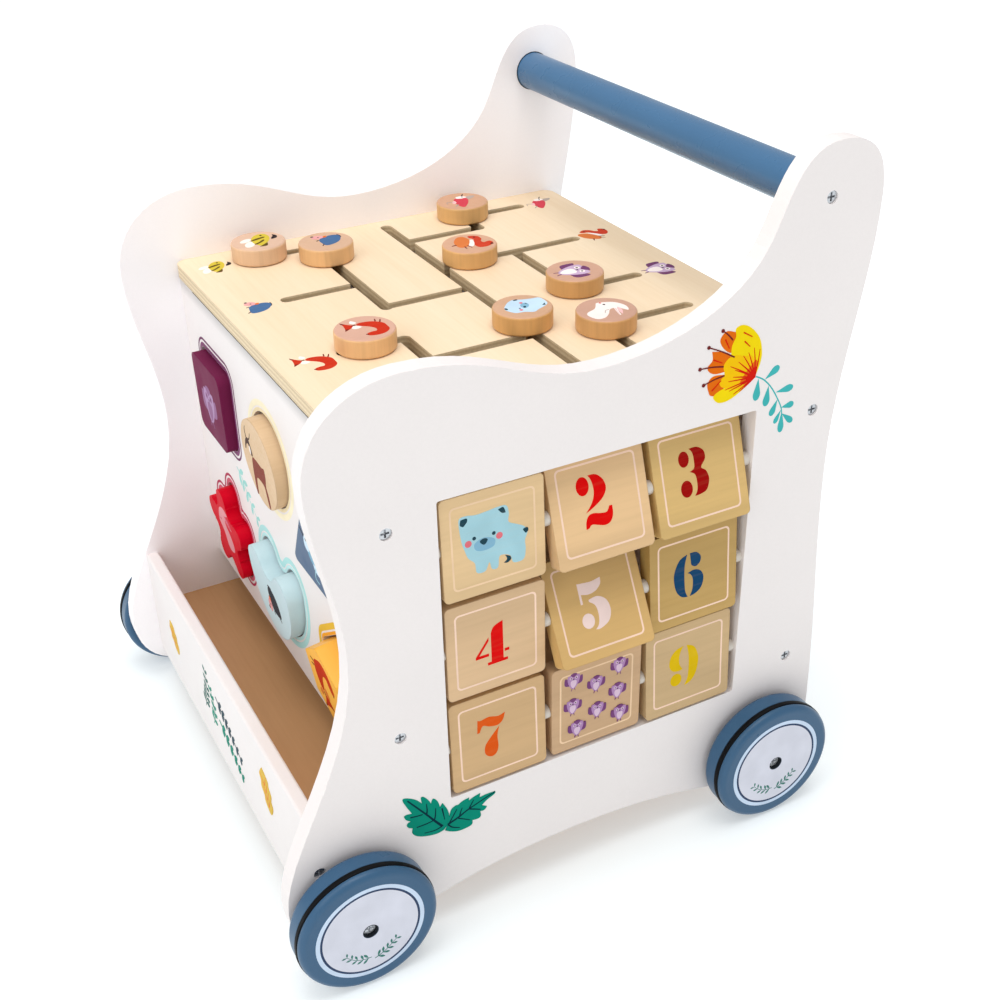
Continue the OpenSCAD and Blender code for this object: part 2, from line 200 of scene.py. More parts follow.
def wood_colour(f, pale, mid, dark, along, figure, fibre, streak, fuzz):
    """Grain of a wood whose fibres run along one axis, and its finest lines."""
    stretch, slow = [1.0, 1.0, 1.0], [1.0, 1.0, 1.0]
    stretch[along], slow[along] = 0.055, 0.16
    bands = f.noise(figure, 3, slow, 0.6)
    fine = f.noise(fibre, 3, stretch, 0.2)
    lines = f.noise(fibre * 0.4, 2, stretch, 0.4)
    base = f.mix(f.span(bands, 0.34, 0.66), pale, mid)
    base = f.mix(f.span(fine, 0.42, 0.72, 0.0, fuzz), base, dark)
    base = f.mix(f.span(lines, 0.58, 0.74, 0.0, streak), base, dark)
    return base, fine


def wood(name, pale, mid, dark, along, round_by=0.0008, streak=0.35, burn=0.4, fuzz=0.3):
    """Bare wood with slightly browned edges."""
    f = Finish(name, coat_rough=0.25, gloss=0.3)
    base, fine = wood_colour(f, pale, mid, dark, along, 26, 430, streak, fuzz)
    normal, edge = f.soft_edge(round_by)
    base = f.mix(f.math("MULTIPLY", edge, burn), base, shade(dark, 0.9))
    return f.done(base, f.span(fine, 0.3, 0.7, 0.45, 0.58), f.bump(fine, 0.22, 0.0003, normal))


def plywood(name, pale, mid, dark, ply_light, ply_dark, streak, painted_light_drift=0.0):
    """Level plywood: grain along X on its faces, and stacked plies on the cut edges.

    Its tone may be painted darker towards -X and paler towards +X, painted shade and painted light
    for how the lamps reach it.
    """
    f = Finish(name, gloss=0.3)
    face, fine = wood_colour(f, pale, mid, dark, X_AXIS, 20, 430, streak, 0.14)
    # Painted shade towards -X and painted light towards +X
    if painted_light_drift:
        across = f.span(f.axis(X_AXIS), -0.15, 0.12)
        face = f.mix(across, f.mix(painted_light_drift, face, shade(dark, 0.6)),
                     f.mix(painted_light_drift, face, shade(pale, 1.7)))
    level = f.math("DIVIDE", f.axis(Z_AXIS), PLY)
    level = f.math("ADD", level, f.span(f.noise(90, 2), 0.3, 0.7, -0.12, 0.12))
    wave = f.math("PINGPONG", level, 1.0)
    core = f.mix(f.span(wave, 0.38, 0.62), ply_light, ply_dark)
    core = f.mix(f.span(f.noise(700, 3), 0.4, 0.75, 0.0, 0.35), core, shade(ply_dark, 0.7))
    facing = f.math("ABSOLUTE", f.axis(Z_AXIS, f.coord.outputs["Normal"]))
    on_face = f.span(facing, 0.45, 0.6)
    base = f.mix(on_face, core, face)
    normal, edge = f.soft_edge(0.0007)
    base = f.mix(f.math("MULTIPLY", edge, 0.35), base, shade(mid, 0.82))
    return f.done(base, f.span(fine, 0.3, 0.7, 0.42, 0.54),
                  f.bump(f.math("ADD", fine, wave), 0.14, 0.0003, normal))


def metal(name, tone, rough):
    """Plated steel, faintly brushed."""
    f = Finish(name, metallic=1.0)
    swirl = f.noise(900, 3, (1, 0.3, 1))
    base = f.mix(f.span(f.noise(220, 2), 0.3, 0.7), shade(tone, 0.82), tone)
    roughness = f.span(swirl, 0.3, 0.7, rough - 0.08, rough + 0.12)
    return f.done(base, roughness, f.bump(swirl, 0.1, 0.0001, f.soft_edge(0.0003)[0]))


def rubber(name, tone):
    """Matt rubber with a little dust; also the dark strip of painted shade under the maze board.
    """
    f = Finish(name, gloss=0.1)
    dust = f.noise(80, 3)
    grain = f.noise(1300, 2)
    base = f.mix(f.span(dust, 0.4, 0.75, 0.0, 0.5), tone, shade(tone, 2.0))
    roughness = f.span(dust, 0.3, 0.7, 0.45, 0.62)
    return f.done(base, roughness, f.bump(grain, 0.3, 0.0002))


WHITE = rgb(234, 227, 225)
WHITE_LOOK = {"worn": rgb(252, 248, 244), "wear": 0.5, "vary": 0.012, "gloss": 0.3,
              "turned": False}
white_paint = paint("white_paint", WHITE, 0.42, round_by=0.0016, **WHITE_LOOK)
# The far panel has the same white paint as the near one; its lighter white here is painted light
far_white_lit = paint("far_panel_white_lit", rgb(252, 248, 249), 0.42, round_by=0.0016, **WHITE_LOOK)
sorter_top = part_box("sorter_board")[1][2]
# White of the sorter board, with a painted shadow along its top under the overhang of the maze
# board
sorter_white = paint("sorter_white", WHITE, 0.42, **WHITE_LOOK,
                     painted_shade_band=(sorter_top - 9 * MM, sorter_top - 2 * MM))
handle_blue = paint("handle_blue", rgb(62, 105, 143), 0.28, worn=rgb(76, 120, 156), wear=0.1,
                    round_by=0.0005, gloss=0.42)
wheel_blue = paint("wheel_blue", rgb(53, 90, 122), 0.32, worn=rgb(84, 118, 148), round_by=0.001,
                   gloss=0.3)
purple_paint = paint("purple_paint", rgb(112, 32, 70), 0.5, worn=rgb(146, 76, 110), gloss=0.04)
slate_paint = paint("slate_blue_paint", rgb(50, 86, 122), 0.38, worn=rgb(110, 140, 176), gloss=0.3)
red_paint = paint("red_paint", rgb(210, 2, 34), 0.45, worn=rgb(222, 84, 96), gloss=0.05)
mint_paint = paint("mint_paint", rgb(198, 222, 228), 0.38, worn=rgb(222, 240, 242), gloss=0.3)
orange_paint = paint("orange_paint", rgb(255, 186, 66), 0.38, worn=rgb(244, 186, 100), gloss=0.3)
spacer_plastic = paint("spacer_plastic", rgb(208, 200, 190), 0.3, round_by=0.0004)
maze_ply = plywood("maze_birch_plywood", rgb(240, 218, 187), rgb(235, 210, 176),
                   rgb(216, 188, 146), rgb(228, 208, 172), rgb(208, 184, 146), 0.08)
# The tray floor gets painted shade towards the far panel and painted light towards the near panel
floor_wood = plywood("brown_plywood", rgb(202, 156, 110), rgb(192, 145, 99), rgb(168, 122, 82),
                     rgb(170, 126, 84), rgb(120, 84, 54), 0.1, painted_light_drift=0.22)
dowel_wood = wood("dowel_wood", rgb(222, 184, 134), rgb(208, 168, 116), rgb(170, 126, 78), X_AXIS)
round_wood = wood("block_wood", rgb(220, 188, 150), rgb(210, 176, 136), rgb(186, 150, 108), Y_AXIS,
                  round_by=0.001, burn=0.2, streak=0.12, fuzz=0.14)
steel = metal("zinc_steel", rgb(196, 198, 202), 0.3)
bolt_steel = metal("bolt_steel", rgb(236, 238, 242), 0.5)
black_rubber = rubber("black_rubber", rgb(7, 8, 11))
# Dark rubber for the wheel sleeves, and painted shade for the gap round the handle
sleeve_black = rubber("sleeve_black", rgb(30, 34, 40))

# Each tile's tone is partly its own piece of wood and partly painted shade and light for how its
# tilt meets the lamps
TILE_TONES_AND_SHADE = {
    1: (226, 192, 144), 2: (226, 188, 140), 3: (212, 176, 112), 4: (218, 182, 140),
    5: (216, 176, 112), 6: (194, 157, 90), 7: (210, 172, 124), 8: (206, 168, 128),
    9: (206, 174, 128),
}
tile_woods = {}
for number, tone in TILE_TONES_AND_SHADE.items():
    tone = rgb(*tone)
    tile_woods["tile_%d" % number] = wood("tile_wood_%d" % number, tone, shade(tone, 0.86),
                                          shade(tone, 0.62), Y_AXIS, burn=0.2, streak=0.1,
                                          fuzz=0.12)


def knob_finish(name, tone, top_tone):
    """Beech disc: pale smooth top and darker upright grain round the side."""
    tone, top_tone = rgb(*tone), shade(rgb(*top_tone), 0.88)
    f = Finish(name, coat=0.05, coat_rough=0.3, gloss=0.3)
    side, fine = wood_colour(f, tone, shade(tone, 0.84), shade(tone, 0.6), Z_AXIS, 40, 520,
                             0.2, 0.2)
    top_grain = f.noise(420, 3, (1, 0.07, 1))
    top = f.mix(f.span(f.noise(40, 2), 0.3, 0.7), top_tone, shade(top_tone, 0.9))
    top = f.mix(f.span(top_grain, 0.45, 0.75, 0.0, 0.15), top, shade(top_tone, 0.75))
    facing = f.axis(Z_AXIS, f.coord.outputs["Normal"])
    base = f.mix(f.span(facing, 0.55, 0.8), side, top)
    normal = f.soft_edge(0.0006)[0]
    return f.done(base, f.span(fine, 0.3, 0.7, 0.38, 0.5), f.bump(fine, 0.15, 0.0003, normal))


KNOB_TONES = {
    "bee": ((234, 194, 156), (232, 192, 164)), "hedgehog": ((232, 184, 130), (228, 184, 150)),
    "fox": ((236, 188, 134), (226, 176, 152)), "bird": ((218, 172, 112), (222, 170, 134)),
    "squirrel": ((224, 174, 112), (226, 174, 140)), "owl": ((216, 166, 106), (222, 172, 144)),
    "bear": ((220, 168, 104), (222, 174, 138)), "bunny": ((216, 166, 108), (214, 166, 142)),
}
beech = {"knob_" + animal: knob_finish("beech_" + animal, *tones)
         for animal, tones in KNOB_TONES.items()}

BY_NODE = {
    "side_panel_right": white_paint, "side_panel_left": far_white_lit, "sorter_board": sorter_white,
    "back_board": white_paint, "tray_lip": white_paint, "maze_board": maze_ply,
    "floor_board": floor_wood, "handle_bar": handle_blue, "panel_screws": steel,
    "board_dowels": dowel_wood, "tile_rods": steel, "tile_spacers": spacer_plastic,
    "axle_bolts": bolt_steel, "axle_washers": steel, "axle_nuts": steel,
    "block_square": purple_paint, "block_circle": round_wood, "block_triangle": slate_paint,
    "block_flower": red_paint, "block_heart": mint_paint, "block_hexagon": orange_paint,
    **tile_woods, **beech,
}
BY_PREFIX = {"washer_": dowel_wood, "wheel_": wheel_blue, "tyre_": black_rubber}
PANEL_EDGE = 1.6 * MM  # radius of the side panels' sanded edges
for name, obj in NODES.items():
    finish = BY_NODE.get(name)
    if finish is None:
        finish = next(m for start, m in BY_PREFIX.items() if name.startswith(start))
    if not obj.material_slots:
        obj.data.materials.append(finish)
    for part in obj.material_slots:
        part.material = finish
    if name.startswith("side_panel"):
        soft = obj.modifiers.new("rounded", "BEVEL")
        soft.width, soft.segments = PANEL_EDGE, 3
        soft.limit_method, soft.angle_limit = "ANGLE", math.radians(50)
        soft.use_clamp_overlap = False
        soft.harden_normals = True


# ---------------------------------------------------------------- outlines, in millimetres
def spline(a, b, c, d, t):
    """A point of the smooth curve from b to c, whose neighbours are a and d."""
    return tuple(0.5 * (2 * b[j] + (c[j] - a[j]) * t
                        + (2 * a[j] - 5 * b[j] + 4 * c[j] - d[j]) * t * t
                        + (3 * b[j] - a[j] - 3 * c[j] + d[j]) * t ** 3) for j in (0, 1))


def smooth(points, steps=5):
    """Closed curve through the points. A third value marks a sharp corner."""
    out = []
    for i, b in enumerate(points):
        a, c, d = points[i - 1], points[(i + 1) % len(points)], points[(i + 2) % len(points)]
        if len(b) > 2 and len(c) > 2:
            out.append((b[0], b[1]))
            continue
        a = b if len(b) > 2 else a
        d = c if len(c) > 2 else d
        out += [spline(a, b, c, d, k / steps) for k in range(steps)]
    return out


def oval(x, y, rx, ry=None, turn=0, steps=24):
    ry, t = ry or rx, math.radians(turn)
    out = []
    for i in range(steps):
        a = 2 * math.pi * i / steps
        u, v = rx * math.cos(a), ry * math.sin(a)
        out.append((x + u * math.cos(t) - v * math.sin(t), y + u * math.sin(t) + v * math.cos(t)))
    return out


def box(x0, y0, x1, y1, r=0.0, steps=5):
    if not r:
        return [(x0, y0), (x1, y0), (x1, y1), (x0, y1)]
    out = []
    for cx, cy, start in ((x1 - r, y1 - r, 0), (x0 + r, y1 - r, 90), (x0 + r, y0 + r, 180),
                          (x1 - r, y0 + r, 270)):
        for i in range(steps + 1):
            a = math.radians(start + 90 * i / steps)
            out.append((cx + r * math.cos(a), cy + r * math.sin(a)))
    return out


def leaf(x0, y0, x1, y1, width, belly=0.5):
    """Pointed leaf from its stem to its tip."""
    dx, dy = x1 - x0, y1 - y0
    long = math.hypot(dx, dy)
    nx, ny = -dy / long * width / 2, dx / long * width / 2
    mx, my = x0 + dx * belly, y0 + dy * belly
    return smooth([(x0, y0, 1), (mx - nx, my - ny), (x1, y1, 1), (mx + nx, my + ny)], 7)


def stroke(points, wide, tip=None, steps=5):
    """Brush stroke along an open smooth line, from one width to another."""
    tip = wide if tip is None else tip
    line = []
    for i in range(len(points) - 1):
        near = [points[min(max(i + k, 0), len(points) - 1)] for k in (-1, 0, 1, 2)]
        line += [spline(*near, k / steps) for k in range(steps)]
    line.append(tuple(points[-1][:2]))
    left, right = [], []
    for i, p in enumerate(line):
        q, r = line[max(i - 1, 0)], line[min(i + 1, len(line) - 1)]
        dx, dy = r[0] - q[0], r[1] - q[1]
        long = math.hypot(dx, dy) or 1.0
        w = (wide + (tip - wide) * i / (len(line) - 1)) / 2
        left.append((p[0] - dy / long * w, p[1] + dx / long * w))
        right.append((p[0] + dy / long * w, p[1] - dx / long * w))
    return left + right[::-1]


def fill(tint, *points):
    """A smooth filled shape of a drawing."""
    return tint, [smooth(points)]


def dot(tint, *shape):
    """An oval of a drawing."""
    return tint, [oval(*shape)]


def brush(tint, *shape):
    """A stroke of a drawing."""
    return tint, [stroke(*shape)]


def turns_left(loop):
    """Whether a closed outline of (x, y) runs anticlockwise."""
    return sum(a[0] * b[1] - b[0] * a[1] for a, b in zip(loop, loop[1:] + loop[:1])) > 0


def moved(art, dx=0.0, dy=0.0, turn=0.0, size=1.0, flip=False):
    """A drawing placed elsewhere, turned, scaled or mirrored."""
    c, s = math.cos(math.radians(turn)) * size, math.sin(math.radians(turn)) * size
    side = -1 if flip else 1
    return [(tint, [[(dx + c * side * x - s * y, dy + s * side * x + c * y) for x, y in loop]
                    for loop in loops]) for tint, loops in art]


def grown(loop, by):
    """A closed outline moved outward, with the parts that fold over in its notches dropped."""
    side = 1 if turns_left(loop) else -1
    dense = []
    for a, b in zip(loop, loop[1:] + loop[:1]):
        parts = max(1, int(math.dist(a, b) / 1.5))
        dense += [(a[0] + (b[0] - a[0]) * k / parts, a[1] + (b[1] - a[1]) * k / parts)
                  for k in range(parts)]
    out = []
    for i, p in enumerate(dense):
        q, r = dense[i - 1], dense[(i + 1) % len(dense)]
        dx, dy = r[0] - q[0], r[1] - q[1]
        long = math.hypot(dx, dy) or 1.0
        new = (p[0] + dy / long * by * side, p[1] - dx / long * by * side)
        if min(math.dist(new, o) for o in dense) > by * 0.985:
            out.append(new)
    return out


# ---------------------------------------------------------------- faces of the frame
class Face:
    """The outermost flat face of a CAD node on one side, with its own flat axes."""
    FACING, SAME_WAY = 0.75, 0.9995  # least cosines between normals
    SLIVER, DEEPEST, SAME_LEVEL = 1e-9, 0.02, 2e-5  # in square metres, metres and metres
    MICRON, MICRONS = 1e-6, 1e6

    def __init__(self, node, towards, up):
        mesh = NODES[node].data
        towards, up = Vector(towards), Vector(up)
        picked = [p for p in mesh.polygons
                  if p.normal.dot(towards) > self.FACING and p.area > self.SLIVER]
        far = max(p.center.dot(towards) for p in picked)
        best = max((p for p in picked if p.center.dot(towards) > far - self.DEEPEST),
                   key=lambda p: p.area)
        self.n = best.normal.normalized()
        level = best.center.dot(self.n)
        flat = [p for p in picked if p.normal.dot(self.n) > self.SAME_WAY
                and abs(p.center.dot(self.n) - level) < self.SAME_LEVEL]
        self.v = (up - self.n * up.dot(self.n)).normalized()
        self.u = self.v.cross(self.n)
        self.level = level
        seen = {}
        for p in flat:
            keys = [tuple(round(c * self.MICRONS) for c in mesh.vertices[i].co)
                    for i in p.vertices]
            for a, b in zip(keys, keys[1:] + keys[:1]):
                if (b, a) in seen:
                    del seen[(b, a)]
                else:
                    seen[(a, b)] = True
        follow = dict(seen.keys())
        self.loops = []
        while follow:
            start, here = next(iter(follow.items()))
            del follow[start]
            chain = [start]
            while here != start and here in follow:
                chain.append(here)
                here = follow.pop(here)
            points = [Vector(k) * self.MICRON for k in chain]
            self.loops.append([(p.dot(self.u) / MM, p.dot(self.v) / MM) for p in points])
        every = [p for loop in self.loops for p in loop]
        self.mid = tuple((min(p[j] for p in every) + max(p[j] for p in every)) / 2
                         for j in (0, 1))

    def at(self, x, y, lift):
        return (self.u * x + self.v * y) * MM + self.n * (self.level + lift * MM)


INKS = {}
FILM = 0.05  # how far a film stands out, in millimetres
STEP = 0.006  # how much further each next film of a drawing stands out
FILM_FOOT = -0.02  # where its underside lies, inside the surface
SLIVER = 1e-9  # twice the area of a triangle that is left out, in square millimetres


def ink_of(tint):
    """The material of an ink, made once. A name that ends in _w is printed on bare wood."""
    if tint not in INKS:
        on_wood = tint.endswith("_w")
        base = TINTS[tint[:-2] if on_wood else tint]
        INKS[tint] = ink("ink_" + tint, rgb(*base), grain=0.05 if on_wood else 0.0)
    return INKS[tint]


def add_piece(name, bm, body, slot, *finishes):
    """A mesh as a new object that rides on a body and takes the finishes given to it; its slot
    argument is not used.
    """
    mesh = bpy.data.meshes.new(name)
    bm.to_mesh(mesh)
    bm.free()
    for finish in finishes:
        mesh.materials.append(finish)
    obj = bpy.data.objects.new(name, mesh)
    scene.collection.objects.link(obj)
    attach(obj, body)


def printed(name, body, slot, face, art, origin=None, on_wood=False):
    """A drawing as thin closed films on a face; origin is the drawing's zero on that face."""
    ox, oy = origin or face.mid
    bm = bmesh.new()
    tints = []
    for i, (tint, loops) in enumerate(art):
        tint = tint + "_w" if on_wood else tint
        if tint not in tints:
            tints.append(tint)
        lift = FILM + STEP * i
        flat = [[Vector((x + ox, y + oy, 0)) for x, y in loop] for loop in loops]
        points = [p for loop in flat for p in loop]
        top = [bm.verts.new(face.at(p.x, p.y, lift)) for p in points]
        low = [bm.verts.new(face.at(p.x, p.y, FILM_FOOT)) for p in points]
        made = []
        for tri in tessellate_polygon(flat):
            a, b, c = (points[k] for k in tri)
            turn = (b - a).cross(c - a).z
            if abs(turn) < SLIVER:
                continue
            order = tri if turn > 0 else tri[::-1]
            made.append(bm.faces.new([top[k] for k in order]))
            made.append(bm.faces.new([low[k] for k in reversed(order)]))
        start = 0
        for loop in flat:
            ccw = turns_left(loop) != (loop is not flat[0])
            count = len(loop)
            for k in range(count):
                a, b = start + k, start + (k + 1) % count
                ring = [low[a], low[b], top[b], top[a]]
                made.append(bm.faces.new(ring if ccw else ring[::-1]))
            start += count
        for part in made:
            part.material_index = tints.index(tint)
    add_piece(name, bm, body, slot, *(ink_of(tint) for tint in tints))


TINTS = {
    "frame": (240, 208, 186), "frame_faint": (232, 200, 164), "red": (214, 8, 8),
    "dark_red": (150, 8, 8), "pale": (236, 212, 206), "navy": (20, 66, 104),
    "orange": (214, 84, 20), "yellow": (214, 178, 12), "sky": (160, 200, 210),
    "sky_dark": (128, 174, 198), "teal_dark": (34, 66, 78), "pink": (218, 110, 120),
    "lilac": (196, 168, 196), "plum": (112, 62, 104), "cream": (244, 232, 226),
    "black": (40, 30, 34), "bee": (206, 184, 58), "bee_dark": (92, 72, 20),
    "wing": (240, 232, 224), "blue": (66, 104, 148), "fox": (194, 44, 18),
    "fox_dark": (110, 26, 18), "rose": (206, 62, 78), "grey": (176, 160, 150),
    "rust": (200, 58, 30), "rust_light": (214, 118, 58), "bear_blue": (190, 214, 232),
    "blush": (238, 190, 190), "leaf_teal": (0, 134, 112), "vein": (0, 44, 58),
    "sprig": (66, 176, 176), "petal": (236, 208, 10), "petal_deep": (238, 188, 8),
    "ember": (220, 104, 12), "ember_dark": (206, 26, 8), "stamen": (108, 34, 34),
    "deer": (128, 52, 36), "deer_dark": (70, 40, 28), "coal": (50, 56, 64),
    "face_pink": (226, 160, 160), "disc": (212, 213, 224), "disc_rim": (200, 216, 236),
    "disc_line": (56, 70, 98), "sprig_dark": (36, 96, 86), "plum_line": (112, 60, 96),
    "plum_band": (130, 70, 112), "butter": (243, 233, 202), "butter_deep": (238, 222, 182),
    "crimson": (176, 50, 84), "crimson_band": (206, 92, 116), "mint_line": (176, 220, 218),
    "mint_band": (194, 230, 230), "sky_line": (120, 150, 184), "amber": (226, 184, 58),
    "amber_deep": (238, 166, 44), "mint_sprig": (156, 212, 206), "sprig_wheel": (66, 122, 112),
    "gold": (216, 178, 60), "pale_pink": (222, 150, 156), "plum_soft": (116, 68, 118),
    "lilac_mid": (172, 132, 178), "lilac_pale": (214, 188, 208), "lilac_faint": (144, 98, 138),
    "lilac_thin": (172, 138, 176), "snow": (206, 226, 240),
}


# ---------------------------------------------------------------- number tiles
DIGITS = {
    2: [
        oval(-9.5, 12.6, 4.0, 5.3),
        smooth([(-5.4, 17.8, 1), (-0.5, 17.4), (3.6, 13.6), (4.8, 8.2), (1.8, 3.4), (-4, -0.2),
            (-9.6, -2.6, 1), (-5.4, 1.8), (-3.2, 6.6), (-3.0, 11.4), (-4.0, 15.6)]),
        smooth([(-10.9, -11.6, 1), (-10.3, -7.6), (-8.4, -4.4), (-5.2, -3.6), (-1, -4.6),
            (3.2, -4.9), (5.2, -2, 1), (7.1, -2, 1), (6.8, -7.2), (4.8, -10.9), (1.2, -12),
            (-3, -10.9), (-7, -9.7), (-9, -11.3, 1)]),
    ],
    3: [
        oval(-9.6, 11, 3.5, 4.6), oval(-9.9, -6.2, 3.9, 4.9),
        smooth([(-5.4, 16.2, 1), (0, 16.1), (4.1, 13.1), (4.6, 8.4), (1.3, 4.0), (4.3, 1.2),
            (5.6, -4), (3.3, -9.6), (-1.2, -11.2), (-5, -11.4, 1), (-3, -8.2), (-2.6, -3),
            (-3.4, 1), (-6.6, 3, 1), (-3.4, 4.5), (-2.9, 9), (-3.4, 13.5)]),
    ],
    4: [
        smooth([(-3.4, -12.4, 1), (-3.5, 6.8, 1), (-1.6, 10.8), (4.0, 13.2, 1), (4.1, -12.4, 1),
            (6.8, -12.6, 1), (6.8, -14.4, 1), (-5.8, -14.4, 1), (-5.8, -12.6, 1)]),
        smooth([(-13.2, -6.6, 1), (-5.0, 4.6, 1), (-5.0, 2.2, 1), (-11.0, -6.3, 1),
            (-5.0, -6.3, 1), (-5.0, -8.2, 1), (-13.2, -8.2, 1)]),
        box(4.9, -8.2, 7.8, -6.3),
    ],
    5: [
        smooth([(-10.6, 14.2, 1), (-5, 13.6), (-1, 13.4), (4.9, 14.3, 1), (4.2, 10.6), (0.4, 7.5),
            (-4.6, 6.6), (-9.4, 7.6, 1), (-9.4, 2.0, 1), (-10.8, 2.0, 1)]),
        oval(-8.4, -8.1, 4.0, 4.4),
        smooth([(-5.4, 3.6, 1), (0.6, 4.2), (5.6, 0.8), (7.0, -5.6), (4.4, -11.4), (-1.6, -14.2),
            (-5.0, -14.0, 1), (-2.4, -11.4), (-1.2, -6.0), (-2.0, -0.6), (-5.4, 2.4, 1)]),
    ],
    6: [
        smooth([(-4.8, 14.8, 1), (-10.2, 12.2), (-13.6, 5.4), (-14.0, -1), (-12.3, -8.2),
            (-8.6, -12.7), (-4.4, -13.8, 1), (-6.2, -9), (-6.7, 0), (-6.4, 8)]),
        smooth([(-2.8, 15.0, 1), (1.6, 14.6), (4.7, 11.4), (4.4, 7.4), (1.4, 5.2), (-1.6, 6.8),
            (-2.2, 10.2)]),
        smooth([(-4.4, 2.2, 1), (0.4, 3.2), (5.0, 1), (6.9, -4), (5.2, -10), (1.2, -13),
            (-2.8, -13.8, 1), (-1, -9.4), (-0.7, -3.4), (-2, 0.4)]),
    ],
    7: [
        smooth([(-13.8, 5.8, 1), (-13.2, 15.0, 1), (-11.4, 14.2), (-6, 15.0), (0, 13.4),
            (4.5, 14.6, 1), (2.8, 9.4), (-0.8, 7.2), (-6, 8.2), (-10, 10.0), (-12.2, 6.0, 1)]),
        smooth([(0.4, 6.2, 1), (-1.0, 0), (-0.7, -8), (-2.4, -12.6), (-5.8, -13.6), (-9.3, -10.4),
            (-9.0, -4.6), (-5, 0.6)]),
    ],
    9: [
        smooth([(-1.2, 15.0, 1), (4.2, 12.2), (7.2, 5.4), (7.4, -1), (5.6, -8.2), (2, -12.7),
            (-2.6, -14.4, 1), (-0.2, -9), (0.5, 0), (0.2, 8)]),
        smooth([(-3.2, 15.0, 1), (-8.4, 14.0), (-12.6, 10.0), (-13.8, 3.6), (-11.4, -0.8),
            (-7, -2.2), (-4, -1.6, 1), (-6.2, 2.4), (-6.6, 7.6), (-5, 13)]),
        oval(-8.8, -8.2, 4.1, 4.5),
    ],
}
DIGIT_TINT = {2: "red", 3: "dark_red", 4: "red", 5: "pale", 6: "navy", 7: "orange", 9: "yellow"}


def little_bear():
    return [
        fill("sky", (-20, 13), (-19.5, 18), (-15, 18.5), (-10, 17.6), (-3, 18), (3, 18.6), (8, 18),
            (9.4, 13), (9, 8), (14, 5), (18, 2.6), (20.2, -1), (18.4, -6), (18.6, -12),
            (17, -17.6), (11, -17.6), (9, -12.6), (3, -11), (1.6, -17.6), (-2, -17.6), (-3.4, -13),
            (-6, -17.6), (-11, -17.2), (-12, -11), (-15.6, -7), (-17.4, -2), (-19, 4)),
        fill("sky_dark", (-11.6, 0.6), (-8, 2.6), (-4, 2.6), (0.4, 0.2), (0, -3.4), (-3.6, -4.8),
            (-8.4, -4.6), (-11.4, -2.8)),
        fill("teal_dark", (-19, 17, 1), (-15.4, 17.2), (-15.2, 15), (-17.6, 12.6, 1), (-19.4, 14)),
        fill("teal_dark", (3, 17, 1), (6.2, 17.6), (7.6, 14, 1), (5.2, 14.4)),
        dot("teal_dark", -11.6, 4, 1.1), dot("teal_dark", 0, 3.8, 1.1),
        fill("teal_dark", (-8.4, 1.4), (-6, 2.4), (-3.8, 1.4), (-4.6, -0.6), (-6, -1.4),
            (-7.6, -0.4)),
        dot("pink", -15.2, 1.6, 2.0), dot("pink", 3.2, 1.4, 2.0),
        fill("teal_dark", (17.4, 0.8), (20, 1.4), (20.6, -0.6), (19, -2, 1)),
        fill("teal_dark", (6.2, -11.6, 1), (9, -13), (9.6, -15), (7.4, -16.6), (5.2, -16, 1),
            (7.2, -14.4)),
    ]


def little_owl(wing="plum", body="lilac", belly="cream"):
    """Small round bird seen from the front, about 22 across."""
    return [
        fill(wing, (-11, 4), (-9.4, 5.6), (-5, 2), (-3, -4), (-6.4, -5), (-10.6, -3)),
        fill(wing, (11, 4), (9.4, 5.6), (5, 2), (3, -4), (6.4, -5), (10.6, -3)),
        fill(body, (-7, 7.4), (-4, 8), (0, 9.6), (4, 8), (7, 7.4), (7.4, 2), (5, -5), (1.6, -9.6),
            (-1.6, -9.6), (-5, -5), (-7.4, 2)),
        fill(wing, (-4, 9), (0, 10.4), (4, 9), (2, 6.4), (0, 5, 1), (-2, 6.4)),
        fill(belly, (-3.4, 0), (0, 1.4), (3.4, 0), (3.2, -5), (0, -9), (-3.2, -5)),
        dot(belly, -3.2, 4.2, 1.7), dot(belly, 3.2, 4.2, 1.7), dot("black", -3.1, 4.1, 0.8),
        dot("black", 3.1, 4.1, 0.8), fill("black", (-0.9, 3.2, 1), (0.9, 3.2, 1), (0, 1, 1)),
        brush(wing, [(-1.4, -9), (-2.2, -12.4)], 0.8, 0.5),
        brush(wing, [(1.4, -9), (2.4, -12.4)], 0.8, 0.5),
    ]


FRAME_HALF = 25.3  # from a tile's middle to its printed frame's outer edge
FRAME_IN = FRAME_HALF - 1.1
BIRDS = [
    (-16, 19.5), (15.5, 19.5), (-0.5, 12), (-16.5, 1), (14.5, 1), (0.5, -8), (-13.5, -16.5),
    (16.5, -16.5),
]
for number in range(1, 10):
    tile = "tile_%d" % number
    face = Face(tile, RIGHT, UP)
    art = [("frame_faint" if number in (1, 8) else "frame",
            [box(-FRAME_HALF, -FRAME_HALF, FRAME_HALF, FRAME_HALF, 3.0),
             box(-FRAME_IN, -FRAME_IN, FRAME_IN, FRAME_IN, 2.2)])]
    if number == 1:
        art += little_bear()
    elif number == 8:
        for x, y in BIRDS:
            art += moved(little_owl("plum_soft", "lilac_mid", "lilac_pale"), x, y,
                         random.Random(number).uniform(-4, 4), 0.56)
    else:
        art += [(DIGIT_TINT[number], [loop]) for loop in DIGITS[number]]
    printed("print_" + tile, tile, "red_paint", face, art, on_wood=True)


